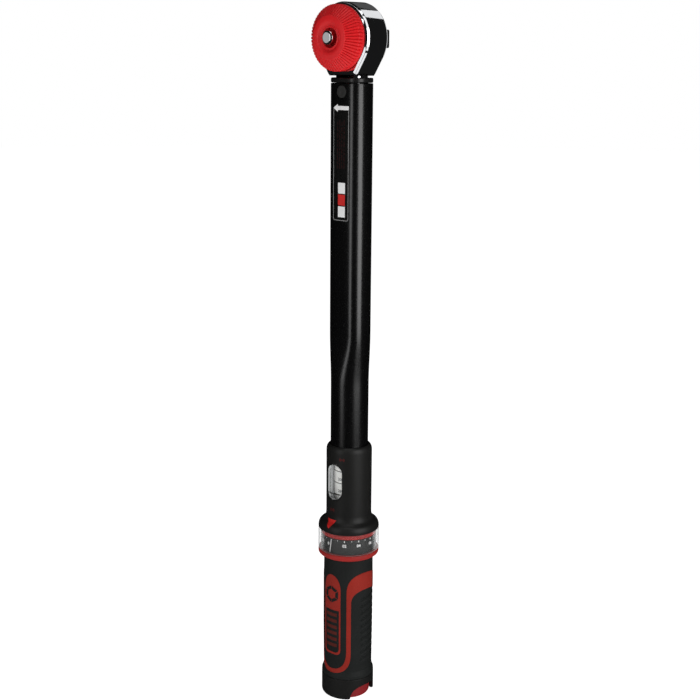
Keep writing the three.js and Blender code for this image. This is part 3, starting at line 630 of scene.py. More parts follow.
def tube_point(angle, z, outset=0):
    """A place on the tube: round below, flattened to a soft oval above."""
    amount = ease((z - ROUND_TOP) / (OVAL_BOTTOM - ROUND_TOP))
    corner = ROUND_RADIUS + (OVAL_CORNER - ROUND_RADIUS) * amount
    squareness = 5
    across, along = math.sin(angle), -math.cos(angle)
    x = amount * (OVAL_HALF_WIDTH - OVAL_CORNER) * math.tanh(squareness * across) / math.tanh(squareness)
    y = amount * (OVAL_HALF_DEPTH - OVAL_CORNER) * math.tanh(squareness * along) / math.tanh(squareness)
    return (x + (corner + outset) * across, y + (corner + outset) * along, z)


def tube_rings(profile, segments):
    return [[tube_point(TURN * (i + 0.5) / segments, z, outset) for i in range(segments)]
            for outset, z in profile]


def tube_shell():
    edge = 0.4
    low, high = TUBE_LOW.z, TUBE_HIGH.z
    steps = 16
    blend = [ROUND_TOP + (OVAL_BOTTOM - ROUND_TOP) * k / steps for k in range(steps + 1)]
    outer = [(-edge, low), (0, low + edge)]
    outer += [(0, z) for z in blend]
    outer += [(0, high - edge), (-edge / 3, high - edge / 3), (-edge, high)]
    inner = [(-TUBE_WALL, high)] + [(-TUBE_WALL, z) for z in reversed(blend)] + [(-TUBE_WALL, low)]
    shell = lofted("tube_shell", tube_rings(outer + inner, 144))
    slot = window_prism("slot", WINDOW_HALF_WIDTH - 0.5, WINDOW_HALF_HEIGHT + 1.5, ROUND_RADIUS)
    pin_radius = box("pivot_pin")[1].x + GAP
    hole = prism("hole", circle(pin_radius, 0, PIVOT_Z), -2 * OVAL_HALF_DEPTH, 2 * OVAL_HALF_DEPTH)
    place(carve(shell, slot, hole), "tube_enamel", "tube")


def seal_ring():
    low, high = box("head_seal")[0].z, box("head_seal")[1].z
    profile = filleted([(-3, low, 0), (0, low, 0.9), (0, high, 0.9), (-3, high, 0)])
    place(lofted("seal_ring", tube_rings(profile, 144)), "seal_rubber", "head_seal")


def pin_with_dimples():
    high = box("pivot_pin")[1]
    radius, half = high.x, high.y
    profile = filleted([
        (0, -half + 0.5, 0), (1.1, -half + 0.1, 0.2), (radius, -half, 0.35),
        (radius, half, 0.35), (1.1, half - 0.1, 0.2), (0, half - 0.5, 0),
    ])

    def on_pivot(r, angle, y):
        return r * math.cos(angle), y, PIVOT_Z + r * math.sin(angle)

    turned("pivot_rivet", profile, "dark_pin", "pivot_pin", where=on_pivot, segments=64)


def front_of_tube(x, z, out):
    """A place on the tube's front flat, x across and out proud of it."""
    angles = np.linspace(-math.pi / 2.2, math.pi / 2.2, 241)
    across = [tube_point(a, z, 0)[0] for a in angles]
    return tube_point(float(np.interp(x, across, angles)), z, out)


def data_label():
    """A printed film: a frame, an arrow, rows of faint marks and a plain badge."""
    low, high = box("data_label")
    half, bottom, top = high.x, low.z, high.z
    sheet = slab(rectangle(-half, half, bottom, top, 15), front_of_tube, 0.02, 0.12)
    place(gathered("label_film", [sheet]), "label", "data_label")

    line = 0.35
    edge = half - 0.3
    middle = top - 2.2
    corner = 1.4
    foot = bottom + 1
    frame_lines = [
        rectangle(-edge, -edge + line, foot + corner, middle),
        rectangle(edge - line, edge, foot + corner, middle),
        rectangle(-edge + corner, edge - corner, foot, foot + line, 13),
    ]
    for side in (-1, 1):
        outside, inside = [], []
        for k in range(7):
            angle = math.radians(15 * k)
            for path, radius in ((outside, corner), (inside, corner - line)):
                path.append((side * (edge - corner + radius * math.sin(angle)),
                             foot + corner - radius * math.cos(angle)))
        frame_lines.append(between(outside, inside, 2))
    parts = [slab(rows, front_of_tube, *PRINT) for rows in frame_lines]
    printed("label_frame", parts, "grey_ink", "data_label")

    shaft, barb, neck = 1.35, 2.6, -edge + 4
    outline = [(edge - (edge - neck) * k / 14, shaft) for k in range(15)]
    outline += [(neck - (edge + neck) * k / 6, barb * (1 - k / 6) + 0.05) for k in range(7)]
    arrow = between([(x, middle - reach) for x, reach in outline],
                    [(x, middle + reach) for x, reach in outline], 3)
    printed("label_arrow", [slab(arrow, front_of_tube, 0.1, 0.17)], "white_ink", "data_label")

    label_marks()
    label_badge()


def label_marks():
    """Four upright rows of faint dashes of uneven length, where the fine print would be."""
    first, last, half_width, gap = 398.0, 430, 0.35, 0.9
    shortest, longer_by = 1.6, 2.4
    marks = []
    for x in (-3.0, -1.0, 1.0, 3.0):
        z, step = first, 0
        while z < last:
            length = shortest + longer_by * ((round(x) * 5 + step * 3) % 4) / 3
            dash = rectangle(x - half_width, x + half_width, z, z + length)
            marks.append(slab(dash, front_of_tube, *PRINT))
            z += length + gap
            step += 1
    printed("label_marks", marks, "label_mark_ink", "data_label")


def label_badge():
    """A plain upright block of three fields, the middle one red."""
    middle, half = 0.9, 3.2
    foot, height = box("data_label")[0].z + 3.4, 24.0
    gap = 0.7
    field = (height - 2 * gap) / 3
    pale, red = [], []
    for i in range(3):
        low = foot + i * (field + gap)
        rows = rectangle(middle - half, middle + half, low, low + field, 7)
        (red if i == 1 else pale).append(slab(rows, front_of_tube, *PRINT))
    printed("badge_pale_fields", pale, "white_ink", "data_label")
    printed("badge_red_field", red, "red_ink", "data_label")


# ---- collar, window and scale


def on_radius(radius):
    """A surface round the Z axis: u is the azimuth in degrees and v the height."""
    return lambda u, v, out: upright(radius + out, math.radians(u), v)


def collar_outline():
    low, high = box("collar")[0].z, box("collar")[1].z
    bore = LENS_RADIUS - 2.85
    return [
        Vector((bore, low)),
        Vector((DIAL_RADIUS - 0.9, low)),
        *arc(DIAL_RADIUS - 0.9, low + 0.9, 0.9, 0.9, -90, 0, 4),
        *arc(DIAL_RADIUS - 3.2, low + 1.4, 3.2, 5, 3, 72),
        *arc(COLLAR_RADIUS + 3, low + 12.6, 3, 6, 245, 180),
        *arc(COLLAR_RADIUS - 2.6, high - 4.5, 2.6, 4.5, 0, 88),
        Vector((bore, high - 0.3)),
    ]


def collar_shell():
    shell = revolved("collar_shell", collar_outline())
    rim, beyond = 0.6, 20
    window = window_prism("window", WINDOW_HALF_WIDTH, WINDOW_HALF_HEIGHT, DIAL_RADIUS)
    rebate = revolved("rebate", ring_outline(COLLAR_RADIUS - 0.4, DIAL_RADIUS,
                                             WINDOW_Z - beyond, WINDOW_Z + beyond))
    outline = window_prism("outline", WINDOW_HALF_WIDTH + rim, WINDOW_HALF_HEIGHT + rim, DIAL_RADIUS)
    combine(rebate, "INTERSECT", outline)
    screw_low, screw_high = box("collar_screw")
    screw_z = (screw_low.z + screw_high.z) / 2
    screw_hole = prism("screw_hole", circle(screw_high.x + GAP, 0, screw_z), 0, 2 * DIAL_RADIUS)
    place(carve(shell, window, rebate, screw_hole), "black_plastic", "collar")


def window_glass():
    wall = 2.5
    shell = revolved("window_glass",
                     ring_outline(LENS_RADIUS - wall, LENS_RADIUS, LENS_LOW.z - 1, LENS_HIGH.z + 1))
    outline = window_prism("outline", LENS_HIGH.x, WINDOW_HALF_HEIGHT - GAP, LENS_RADIUS)
    place(combine(shell, "INTERSECT", outline), "window_clear", "window_lens")
    reach_angle = math.degrees(math.asin((LENS_HIGH.x - 0.6) / LENS_RADIUS))
    half_line = 0.42
    bottom, top = WINDOW_INDEX_Z - half_line, WINDOW_INDEX_Z + half_line
    line = rectangle(-reach_angle, reach_angle, bottom, top, 15)
    strip = slab(line, on_radius(LENS_RADIUS), -0.05, 0.04)
    printed("window_index", [strip], "black_ink", "window_lens")


def scale_sleeve():
    """The white sleeve behind the window, with its printed lines and numbers."""
    low, high = box("scale_sleeve")
    radius = high.x
    wall = 1.3
    profile = ring_outline(radius - wall, radius, low.z, high.z, 0.2, 0.3, 0.3)
    turned("scale_tube", profile, "white_scale", "scale_sleeve")

    per_turn, pitch, turns_per_number = 24, 3.0, 3
    surface = on_radius(radius)
    per_mm = math.degrees(1 / radius)
    first = low.z + 1.9
    lines, numbers = [], []
    count = int((high.z - 3 - first) / pitch)
    for i in range(count + 1):
        z = first + i * pitch
        is_long = i % turns_per_number == 2
        start, half_line = (-34, 0.25) if is_long else (20, 0.12)
        lines.append(slab(rectangle(start, 34, z - half_line, z + half_line, 9), surface, -0.05, 0.08))
        if is_long:
            value = str(40 + per_turn * (count - i))
            numbers.append(text_part(value, 2.9, 8, z + 3, per_mm, surface, -0.05, 0.08))
    printed("scale_lines", lines, "black_ink", "scale_sleeve")
    printed("scale_numbers", numbers, "grey_ink", "scale_sleeve")


def flare_radius(z):
    """The collar's outer radius at a height, for marks laid on it."""
    outline = sorted((p for p in collar_outline() if p.x > COLLAR_RADIUS - 1), key=lambda p: p.y)
    return float(np.interp(z, [p.y for p in outline], [p.x for p in outline]))


def collar_marks():
    """The red pointer over the dial and the small marks at the window."""
    def surface(u, v, out):
        return upright(flare_radius(v) + out, math.radians(u), v)

    centre, lean, top, bottom, half = -4.5, 4, 142.2, 136.7, 14.5
    steps = 16
    left, right = [], []
    for k in range(steps + 1):
        t = k / steps
        z = top + (bottom - top) * t
        left.append((centre + lean * t - half * (1 - t) - 0.1, z))
        right.append((centre + lean * t + half * (1 - t) + 0.1, z))
    pointer = slab(between(left, right, 9), surface, -0.15, 0.14)
    printed("collar_pointer", [pointer], "red_ink", "collar")

    marks = []
    for centre_u, z in ((23, 189), (-5, 149.5)):
        for k in range(3):
            u = centre_u - 6 + 5 * k
            rise = 1.1 if k != 1 else 0.7
            marks.append(slab(rectangle(u, u + 3.4, z - rise, z + rise, 4, 3), surface, -0.1, 0.08))
    printed("collar_marks", marks, "faint_ink", "collar")


# ---- dial


def bezels():
    # Both bezels wear red plastic painted darker, as painted shade.
    low, high = box("upper_bezel")
    bore = ROUND_RADIUS + 0.55
    profile = ring_outline(bore, high.x, low.z, high.z, 0.2, 0.25, 0.8)
    turned("bezel_top", profile, "shaded_bezel_red", "upper_bezel")

    low, high = box("lower_bezel")
    bore = reach("handle_core") + GAP
    neck, lip = GRIP_RADIUS - 0.1, high.z - 2.4
    turned("bezel_bottom", [
        Vector((bore, low.z)),
        Vector((neck, low.z)),
        *arc(neck, lip, DIAL_RADIUS - neck, lip - low.z, -80, 0, 14),
        *arc(DIAL_RADIUS - 0.5, high.z - 0.5, 0.5, 0.5, 0, 90, 4),
        Vector((bore, high.z)),
    ], "shaded_bezel_red", "lower_bezel")


def dial():
    """The dark scale ring with its white ticks and numbers, under a clear ring."""
    low, high = box("scale_ring")
    bore = reach("handle_core") + GAP
    profile = ring_outline(bore, SCALE_RADIUS, low.z, high.z, 0.2, 0.3, 0.3)
    turned("dial_ring", profile, "dark_scale", "scale_ring")

    surface = on_radius(SCALE_RADIUS)
    per_mm = math.degrees(1 / SCALE_RADIUS)
    count, zero = 12, 3.5
    ticks, numbers = [], []
    for i in range(2 * count):
        azimuth = zero + 180 * i / count
        numbered = i % 2 == 0
        length, half = (1.3, 0.9) if numbered else (0.8, 0.6)
        top = high.z - 0.4
        lean = 0
        if i == 0:
            length, lean = high.z - low.z - 1, 4
        tick = [[(azimuth + side * half - lean * (1 - t), top - length * (1 - t)) for side in (-1, 1)]
                for t in (0, 0.25, 0.5, 0.75, 1)]
        ticks.append(slab(tick, surface, -0.1, 0.1))
        if numbered:
            text, shift = (f"{i:02d}", 0) if i else ("0", -8)
            numbers.append(text_part(text, 3.0, azimuth + shift, top - 4.1, per_mm, surface, -0.1, 0.1))
    printed("dial_ticks", ticks, "white_ink", "scale_ring")
    printed("dial_numbers", numbers, "white_ink", "scale_ring")

    wall = 1.9
    profile = ring_outline(DIAL_RADIUS - wall, DIAL_RADIUS, DIAL_LOW.z, DIAL_HIGH.z, 0.2, 0.35, 0.35)
    turned("dial_glass", profile, "clear", "dial_lens")


# ---- handle


def grip_outline():
    bore = reach("handle_core") + GAP
    low, high = GRIP_LOW.z, GRIP_HIGH.z
    return dense(filleted([
        (bore, low, 0),
        (SKIRT_RADIUS, low, 0.3),
        (SKIRT_RADIUS - 0.15, low + 2.3, 1.5),
        (GRIP_RADIUS - 0.2, low + 5.6, 2.5),
        (GRIP_RADIUS - 0.3, low + 9, 3),
        (GRIP_RADIUS, low + 40, 10),
        (GRIP_RADIUS, low + 76, 10),
        (GRIP_RADIUS - 0.2, high, 0.5),
        (bore, high, 0),
    ]), 0.45)


def grip_radius(z):
    outline = sorted((p for p in grip_outline() if p.x > GRIP_RADIUS - 1), key=lambda p: p.y)
    return float(np.interp(z, [p.y for p in outline], [p.x for p in outline]))


def rib_depth(angle, radius, z):
    """The slanted grooves of the side pads, mirrored about the front."""
    first, pitch, count, slope = 31.0, 5.3, 10, 0.075
    azimuth = math.degrees(angle)
    azimuth = min(azimuth, 360 - azimuth)
    if radius < GRIP_RADIUS - 1 or not 72 < azimuth < 150:
        return 0
    ends = ease((azimuth - 72) / 9) * ease((150 - azimuth) / 9)
    offset = (z - first - slope * (azimuth - 70)) / pitch
    nearest = min(count - 1, max(0, round(offset)))
    across = abs(offset - nearest) * pitch
    return 1.3 * ends * ease(1 - across / 1.7)


def grip():
    turned("grip_rubber", grip_outline(), "grip_rubber", "grip_sleeve", segments=360, sink=rib_depth)


def inlay(rows, low=-0.35, high=0.16):
    """A thin raised shape on the grip, from rows of (azimuth, height) points."""
    radii = {}

    def surface(u, v, out):
        key = round(v, 2)
        if key not in radii:
            radii[key] = grip_radius(v)
        return upright(radii[key] + out, math.radians(u), v)

    return slab(rows, surface, low, high)


def both_sides(rows):
    """An inlay on the right of the grip and its mirror image on the left."""
    mirrored = [[(-u, v) for u, v in row] for row in reversed(rows)]
    return [inlay(rows), inlay(mirrored)]


def band_edges():
    """The front and side edges of the red band, from the front of the U to the middle of the back."""
    front_edge, side_edge, crest, sag = 38.4, 48.8, 101.2, 88.0
    front = [(0.0, 23.9)]
    front += bezier((0, 23.9), (23, 23.9), (front_edge, 28), (front_edge, 39), 20)
    front += [(front_edge, 39 + 47 * k / 24) for k in range(1, 25)]
    front += bezier((front_edge, 86), (front_edge, 97.5), (60, crest), (84, crest), 20)
    front += bezier((84, crest), (125, crest), (150, crest - 9), (180, crest - 9), 28)
    side = [(0.0, 20.9)]
    side += bezier((0, 20.9), (32, 20.9), (side_edge, 25.5), (side_edge, 37), 20)
    side += [(side_edge, 37 + 41 * k / 24) for k in range(1, 25)]
    side += bezier((side_edge, 78), (side_edge, 85), (66, sag), (88, sag), 20)
    side += bezier((88, sag), (125, sag), (150, sag - 8), (180, sag - 8), 28)
    return front, side


def red_band():
    front, side = band_edges()
    printed("grip_band", both_sides(between(front, side)), "core_red", "grip_sleeve")


def lozenge_edge(half, low, high, corner, crown, steps=12):
    """The right-hand edge of the front panel, from its foot to its crown."""
    side, top = low + 4, high - crown
    points = [(0.0, low), (half - corner, low)]
    points += bezier(points[-1], (half - corner * 0.4, low), (half, low + 1.2), (half, side), steps)
    points += [(half, side + (top - side) * k / (2 * steps)) for k in range(1, 2 * steps + 1)]
    points += bezier((half, top), (half, high - crown * 0.4), (half * 0.55, high), (0, high), steps)
    return points


def hexagon_bars(middle, inner, outer):
    """The six sides of a hexagon on the grip, as strips a little apart."""
    per_mm = math.degrees(1 / GRIP_RADIUS)

    def at(radius, turn):
        angle = math.radians(turn)
        return radius * math.sin(angle) * per_mm, middle + radius * math.cos(angle)

    parts = []
    for side in range(6):
        start, end = 60 * side + 3, 60 * side + 57
        steps = 6
        inside, outside = [], []
        for k in range(steps + 1):
            for edge, radius in ((inside, inner), (outside, outer)):
                (u0, v0), (u1, v1) = at(radius, start), at(radius, end)
                edge.append((u0 + (u1 - u0) * k / steps, v0 + (v1 - v0) * k / steps))
        parts.append(inlay(between(inside, outside, 3), 0.1, 0.3))
    return parts


def front_panel():
    """A filled crown over a thin outline, with a plain hexagon and level bars inside."""
    outer = lozenge_edge(24.2, 35.8, 99.4, 13, 12)
    inner = lozenge_edge(20.6, 37.4, 95.5, 10, 12)
    printed("panel_rim", both_sides(between(inner, outer, 5)), "core_red", "grip_sleeve")

    floor = 71.6
    edge = [(u, v) for u, v in inner if v >= floor]
    edge = [(edge[0][0], floor)] + edge
    fill = between([(-u - 0.3, v) for u, v in edge], [(u + 0.3, v) for u, v in edge], 15)
    printed("panel_fill", [inlay(fill)], "core_red", "grip_sleeve")

    printed("panel_hexagon", hexagon_bars(middle=84, inner=4.0, outer=6.6), "grip_rubber", "grip_sleeve")

    bars = []
    count, foot, pitch, thick, half = 6, 42.0, 4.9, 2.6, 15
    for i in range(count):
        low = foot + i * pitch
        bars.append(inlay(rectangle(-half, half, low, low + thick, 9, 3), -0.35, 0.1))
    printed("panel_bars", bars, "deep_red", "grip_sleeve")


def end_skirt():
    low, high = SKIRT_LOW.z, SKIRT_HIGH.z
    bore, rim_low, rim_bore = 16.9, 13.9, 10.8
    skirt = revolved("skirt_shell", filleted([
        (bore, low, 0.4), (SKIRT_RADIUS, low, 2.2), (SKIRT_RADIUS, high, 0.4), (rim_bore, high, 0.3),
        (rim_bore, rim_low, 0.3), (bore, rim_low, 0),
    ]))
    half, rise, steps = 13.1, 10.8, 60
    arch = []
    for k in range(steps + 1):
        angle = math.pi * k / steps
        across = math.copysign(abs(math.cos(angle)) ** 0.7, math.cos(angle))
        arch.append((half * across, rise * math.sin(angle) ** 0.8))
    outline = [(half, -1), *arch, (-half, -1)]
    cutter = prism("scallop", outline, -2 * SKIRT_RADIUS, 2 * SKIRT_RADIUS)
    cutter.data.transform(Matrix.Rotation(math.pi / 2, 4, "Z"))
    place(carve(skirt, cutter), "black_plastic", "end_skirt")


def lock_knob():
    low, high = box("lock_knob")
    radius = high.x
    floor = 3.3
    # The lock's red is painted darker, as painted shade inside the scallop.
    turned("lock_cup", filleted([
        (0, low.z, 0), (radius, low.z, 2.4), (radius, high.z, 0.5), (radius - 3, high.z, 0.5),
        (radius - 3, floor, 1), (0, floor, 0),
    ]), "shaded_lock_red", "lock_knob")


# ---- ratchet head


def head_outline():
    """Points and outward normals of the head seen from the front, about the drive axis."""
    shoulder_half, drop = 12.5, 25.0
    reach_corner = math.hypot(shoulder_half, drop)
    tangent = math.atan2(-drop, shoulder_half) + math.acos(HEAD_RADIUS / reach_corner)
    touch = Vector((HEAD_RADIUS * math.cos(tangent), HEAD_RADIUS * math.sin(tangent)))
    corner = Vector((shoulder_half, -drop))
    fillet, steps, step = 2.6, 8, 1.2
    shoulder = filleted([(touch.x, touch.y, 0), (corner.x, corner.y, fillet), (0, -drop, 0)], steps)
    right = dense_line(shoulder[:-1], step)
    bottom_to_touch = list(reversed(right))
    crown = []
    count = 120
    for k in range(1, count):
        angle = tangent + (math.pi - 2 * tangent) * k / count
        crown.append(Vector((HEAD_RADIUS * math.cos(angle), HEAD_RADIUS * math.sin(angle))))
    left = [Vector((-p.x, p.y)) for p in right]
    return [*bottom_to_touch, *crown, *left, Vector((0, -drop))]


def welded_copy(node, name):
    """A copy of a CAD node's mesh with its split corners merged, for use in a cut."""
    mesh = frame["nodes"][node].data.copy()
    weld(mesh)
    return added(name, mesh)


def head():
    outline = head_outline()
    normals = normals_of(outline)
    chamfer, knee = 2.2, 0.75
    profile = filleted([
        (chamfer, HEAD_FRONT, 0.4), (knee, HEAD_FRONT + knee, 0.5), (0, HEAD_FRONT + chamfer, 0.6),
        (0, HEAD_BACK - chamfer, 0.6), (knee, HEAD_BACK - knee, 0.5), (chamfer, HEAD_BACK, 0.4),
        (chamfer + 1, HEAD_BACK, 0), (chamfer + 1, HEAD_FRONT, 0),
    ])[:-2]
    rings = [[(0, HEAD_FRONT, DRIVE_Z)]]
    for inset, y in profile:
        rings.append([(p.x - n.x * inset, y, DRIVE_Z + p.y - n.y * inset)
                      for p, n in zip(outline, normals)])
    rings.append([(0, HEAD_BACK, DRIVE_Z)])
    body = lofted("ratchet_head", rings)

    neck = welded_copy("head_body", "neck")
    shoulder = DRIVE_Z - 25
    below = prism("below", [(-40, 0), (40, 0), (40, shoulder + 1.5), (-40, shoulder + 1.5)], -40, 40)
    combine(neck, "INTERSECT", below)
    combine(body, "UNION", neck)

    cam_bore = box("selector_cam")[1].x + 0.4
    pocket = 15.3
    wall_back = HEAD_FRONT + 4.5
    ring_low, ring_high = box("gear_retainer")[0].y, box("gear_retainer")[1].y
    sector = [on_drive(0, 0, 0)[::2]]
    for k in range(25):
        angle = math.radians(270 - 42 + 84 * k / 24)
        sector.append(on_drive(21.2, angle, 0)[::2])
    pin_low, pin_high = box("pawl_pin")
    pin_hole, pin_z = pin_high.x + GAP, (pin_low.z + pin_high.z) / 2
    pawl_depth = box("pawl")[1].y + 0.6
    pocket_cut = revolved("pocket", [
        Vector((0, wall_back)), Vector((pocket, wall_back)), Vector((pocket, ring_low - GAP)),
        Vector((pocket + 0.7, ring_low - GAP)), Vector((pocket + 0.7, ring_high + GAP)),
        Vector((pocket, ring_high + GAP)), Vector((pocket, HEAD_BACK + 1)), Vector((0, HEAD_BACK + 1)),
    ], on_drive)
    cutters = [
        prism("pawl_pocket", sector, -pawl_depth, pawl_depth),
        prism("pin_hole", circle(pin_hole, 0, pin_z, 24), -9.4, HEAD_BACK + 1),
        pocket_cut,
        prism("cam_bore", circle(cam_bore, 0, DRIVE_Z, 96), HEAD_FRONT - 1, wall_back + 1),
    ]
    ball_low, ball_high = box("selector_ball")
    ball_hole = ball_high.z - DRIVE_Z + GAP
    detent = revolved("detent", plug(ball_hole, cam_bore - 1, 15.5),
                      sideways((ball_low.y + ball_high.y) / 2), segments=25)
    carve(body, detent, *cutters)
    weld(body.data)
    POLISHED.append(place(body, "chrome", "head_body", sharp=28))


def selector_knob():
    """A ribbed cone with a dished face and a hole for the button."""
    low, high = box("selector_knob")
    base, face, radius = high.y, low.y, high.x
    face_radius, ribs, hub = 14.2, 60, 7.0
    front_of_cam = box("selector_cam")[0].y
    bore = box("release_button")[1].x + 0.4
    outline = dense(filleted([
        (hub, base, 0.2), (radius, base, 0.6), (radius, base - 5.3, 0.9),
        (face_radius + 0.4, face + 0.5, 1.4), (face_radius - 2.4, face, 0.8), (10.2, face + 0.1, 2.2),
        (8.0, face + 1.5, 0.8), (7.2, face + 1.1, 0.35), (6.5, face + 1.5, 0.35), (6.5, face + 5, 0),
        (bore, face + 5, 0), (bore, front_of_cam - 0.4, 0), (hub, front_of_cam - 0.4, 0),
    ]), 0.7)

    def groove(angle, point_radius, y):
        on_cone = ease((point_radius - face_radius) / 1.2) * ease((base - 1.2 - y) / 1)
        phase = angle * ribs / TURN % 1
        return 0.85 * on_cone * ease(1 - abs(phase - 0.5) / 0.24)

    turned("selector_cap", outline, "red_plastic", "selector_knob",
           where=on_drive, segments=ribs * 12, sink=groove)


def release_button():
    low, high = box("release_button")
    radius = high.x
    face, tip = low.y, high.y
    shoulder = box("selector_cam")[0].y - 3.5 - GAP
    cap = revolved("release_cap", filleted([
        (0, face, 0), (radius - 1.4, face + 0.05, 1.2), (radius, face + 0.9, 0.5), (radius, shoulder, 0.2),
        (4, shoulder, 0), (4, -9.5, 0.3), (3, -9.5, 0), (3, 10.3, 0), (1.9, 10.3, 0), (1.9, 19, 0),
        (1, 19, 0), (1, 25.2, 0), (2, 25.2, 0), (2, tip, 0.3), (0, tip, 0),
    ]), on_drive, segments=96)
    POLISHED.append(place(cap, "chrome", "release_button"))


def drive_gear():
    """The ratchet wheel, its boss and the output square, as one lofted piece."""
    tip = box("drive_gear")[1].y
    teeth, tip_radius, root_radius, half = 36, 14.5, 13.5, 6.6
    boss, boss_back, square_half, corner = 11.9, 16.3, 6.35, 8.6
    per_tooth = 8
    segments = teeth * per_tooth

    def toothed(i):
        phase = (i % per_tooth) / per_tooth
        rise = ease(1 - abs(phase - 0.5) / 0.38)
        return root_radius + (tip_radius - root_radius) * min(1, 1.4 * rise)

    def squared(inset):
        def radius(i):
            angle = TURN * i / segments
            flat = (square_half - inset) / max(abs(math.cos(angle)), abs(math.sin(angle)))
            limit = corner - inset
            sharpness = 24
            return (flat ** -sharpness + limit ** -sharpness) ** (-1 / sharpness)
        return radius

    def round_to(radius):
        return lambda i: radius

    chamfer = 1.1
    stations = [
        (round_to(3.4), -1), (round_to(5.6), -1), (round_to(5.6), -half),
        (toothed, -half), (toothed, half),
        (round_to(boss), half), (round_to(boss), boss_back - 0.6), (round_to(boss - 0.6), boss_back),
        (squared(-0.6), boss_back), (squared(-0.15), boss_back + 0.25), (squared(0), boss_back + 0.7),
        (squared(0), tip - chamfer), (squared(0.2), tip - chamfer * 0.7), (squared(chamfer), tip),
        (round_to(2.6), tip), (round_to(2.3), tip - 0.3), (round_to(2.3), 14), (round_to(3.4), 14),
    ]
    rings = [[on_drive(radius(i), TURN * i / segments, y) for i in range(segments)]
             for radius, y in stations]
    ball_low, ball_high = box("output_ball")
    ball_y = (ball_low.y + ball_high.y) / 2
    ball_radius = (ball_high.y - ball_low.y) / 2
    hole = revolved("ball_hole", plug(ball_radius + GAP, 1.8, 2 * square_half),
                    sideways(ball_y), segments=48)
    POLISHED.append(place(carve(lofted("output_drive", rings), hole), "chrome", "drive_gear", sharp=28))


def output_ball():
    low, high = box("output_ball")
    centre, radius = (low + high) / 2, (high.y - low.y) / 2
    steps = 32
    profile = [Vector((radius * math.sin(math.pi * k / steps), -radius * math.cos(math.pi * k / steps)))
               for k in range(steps + 1)]
    profile[0].x = profile[-1].x = 0

    def round_centre(r, angle, x):
        return centre.x + x, centre.y + r * math.cos(angle), centre.z + r * math.sin(angle)

    turned("detent_ball", profile, "chrome", "output_ball", where=round_centre, segments=48)


def gear_retainer():
    low, high = box("gear_retainer")
    inner, outer = 12.2, 15.7
    ring = revolved("retainer_ring", ring_outline(inner, outer, low.y, high.y, 0.2, 0.2, 0.2), on_drive)
    wedge = [(0, DRIVE_Z), (30, DRIVE_Z + 9), (30, DRIVE_Z + 26), (9, DRIVE_Z + 26)]
    opening = prism("opening", wedge, 7, 10)
    place(carve(ring, opening), "steel", "gear_retainer")


# ---- stage


def floor_and_backdrop():
    """A plain pale floor that reaches far beyond the picture."""
    reach_m = 6.0
    count = 24
    verts = [(reach_m * math.cos(TURN * k / count) / MM, reach_m * math.sin(TURN * k / count) / MM, 0)
             for k in range(count)]
    floor = object_from("floor", verts, [tuple(range(count))])
    material, _, shader = nodes_of("pale_floor")
    set_inputs(shader, Base_Color=(0.92, 0.92, 0.92, 1), Roughness=0.9,
               Emission_Color=(1, 1, 1, 1), Emission_Strength=0.88)
    floor.data.materials.append(material)
    floor.visible_glossy = False


def world_light():
    """White behind the object, a soft grey fill, and dim surroundings in reflections."""
    world = bpy.data.worlds.new("studio")
    bpy.context.scene.world = world
    world.use_nodes = True
    tree = world.node_tree
    tree.nodes.clear()
    output = new_node(tree, "OutputWorld")
    path = new_node(tree, "LightPath")
    shades = {}
    for name, level in (("seen", 1.0), ("fill", 0.15), ("mirrored", 0.01)):
        shades[name] = new_node(tree, "Background", Color=(level, level, level, 1))
    result = shades["fill"]
    for ray, shade in (("Is Glossy Ray", "mirrored"), ("Is Camera Ray", "seen")):
        mix = new_node(tree, "MixShader")
        tree.links.new(path.outputs[ray], mix.inputs["Fac"])
        tree.links.new(result.outputs[0], mix.inputs[1])
        tree.links.new(shades[shade].outputs[0], mix.inputs[2])
        result = mix
    tree.links.new(result.outputs[0], output.inputs["Surface"])


def area_light(name, place_at, aim, width, length, power):
    """A rectangular light the camera cannot see. Sizes and places in metres."""
    light = bpy.data.lights.new(name, "AREA")
    light.shape = "RECTANGLE"
    light.size = width
    light.size_y = length
    light.energy = power
    lamp = added(name, light)
    lamp.location = place_at
    lamp.rotation_mode = "QUATERNION"
    lamp.rotation_quaternion = (aim - place_at).to_track_quat("-Z", "Y")
    lamp.visible_camera = False
    return lamp


def softbox(name, azimuth, distance, width, length, power):
    """A tall soft light beside the camera's line, level with the middle of the wrench."""
    angle, middle = math.radians(azimuth), 0.5
    place_at = Vector((distance * math.sin(angle), -distance * math.cos(angle), middle))
    area_light(name, place_at, Vector((0, 0, TUBE_HIGH.z / 2 * MM)), width, length, power)


def card(name, normal, distance, width, length, radiance, receivers):
    """A reflector for some pieces only, put where a facet with this normal mirrors it to the camera."""
    head = Vector((0, 0, DRIVE_Z * MM))
    to_camera = (bpy.context.scene.camera.location - head).normalized()
    normal = Vector(normal).normalized()
    away = 2 * normal.dot(to_camera) * normal - to_camera
    power = radiance * width * length * math.pi
    lamp = area_light(name, head + away * distance, head, width, length, power)
    lamp.visible_diffuse = False
    lamp.light_linking.receiver_collection = bpy.data.collections.new(name)
    for piece in receivers:
        lamp.light_linking.receiver_collection.objects.link(piece)


def head_edge(turn, tilt):
    """The normal of the head's rim, turned about the drive axis and tilted back from the front face."""
    turn, tilt = math.radians(turn), math.radians(tilt)
    return math.cos(turn) * math.sin(tilt), -math.cos(tilt), math.sin(turn) * math.sin(tilt)


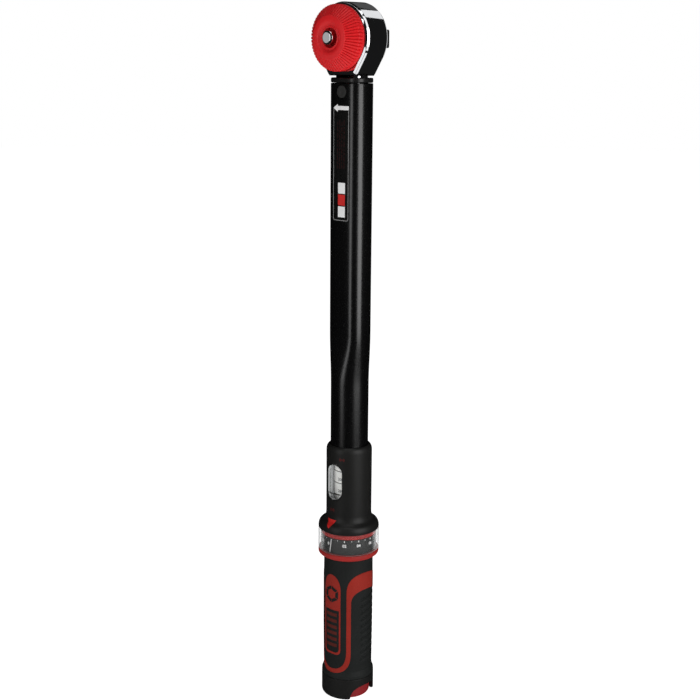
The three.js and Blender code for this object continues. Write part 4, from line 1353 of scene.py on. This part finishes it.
def lights():
    softbox("left_strip", CAMERA_AZIMUTH - 47, 1.3, 0.5, 1.3, 3.6)
    softbox("right_strip", CAMERA_AZIMUTH + 45, 1.3, 0.95, 1.2, 11)
    above = (0.3, -0.4, 1.7)
    area_light("overhead", Vector(above), Vector((0, 0, 0.25)), 0.9, 0.9, 4)

    body = [piece for piece in POLISHED if piece.name != "release_cap"]
    card("edge_card", head_edge(8, 63), 0.6, 0.12, 1.3, 1.1, body)
    card("shoulder_card", head_edge(-33, 27), 0.5, 0.22, 0.22, 1.0, body)
    card("shoulder_side_card", head_edge(-33, 63), 0.5, 0.25, 0.25, 1.0, body)
    card("crown_card", head_edge(75, 45), 0.7, 0.5, 0.3, 0.3, body)
    card("sheen_card", head_edge(64, 90), 0.8, 0.6, 0.3, 0.07, body)
    card("rear_top_card", head_edge(41, 90), 0.8, 0.3, 0.22, 0.9, body)
    head_only = [piece for piece in body if piece.name == "ratchet_head"]
    card("rear_rim_card", head_edge(8, 117), 0.8, 0.25, 0.5, 0.6, head_only)
    button = [piece for piece in POLISHED if piece not in body]
    card("button_card", (0.04, -1, 0), 0.5, 0.42, 0.5, 0.42, button)


def camera():
    """At the height of the head, turned towards the knob's right and looking down the wrench."""
    distance, height, pitch, roll = 0.89, 0.4744, 13.1, 0.0076
    data = bpy.data.cameras.new("camera")
    data.sensor_width = 36
    data.lens = 65.06
    view = added("camera", data)
    angle, down = math.radians(CAMERA_AZIMUTH), math.radians(pitch)
    view.location = (distance * math.sin(angle), -distance * math.cos(angle), height)
    ahead = Vector((-math.sin(angle) * math.cos(down), math.cos(angle) * math.cos(down), -math.sin(down)))
    view.rotation_mode = "QUATERNION"
    tilted = Matrix.Rotation(roll, 3, "Z").to_quaternion()
    view.rotation_quaternion = ahead.to_track_quat("-Z", "Y") @ tilted
    bpy.context.scene.camera = view


# ---- the scene


camera()
world_light()
floor_and_backdrop()

finish_cad_nodes()
tube_shell()
seal_ring()
pin_with_dimples()
data_label()
collar_shell()
window_glass()
scale_sleeve()
collar_marks()
bezels()
dial()
grip()
red_band()
front_panel()
end_skirt()
lock_knob()
head()
selector_knob()
release_button()
drive_gear()
output_ball()
gear_retainer()
lights()

bpy.context.scene.view_settings.view_transform = "Standard"
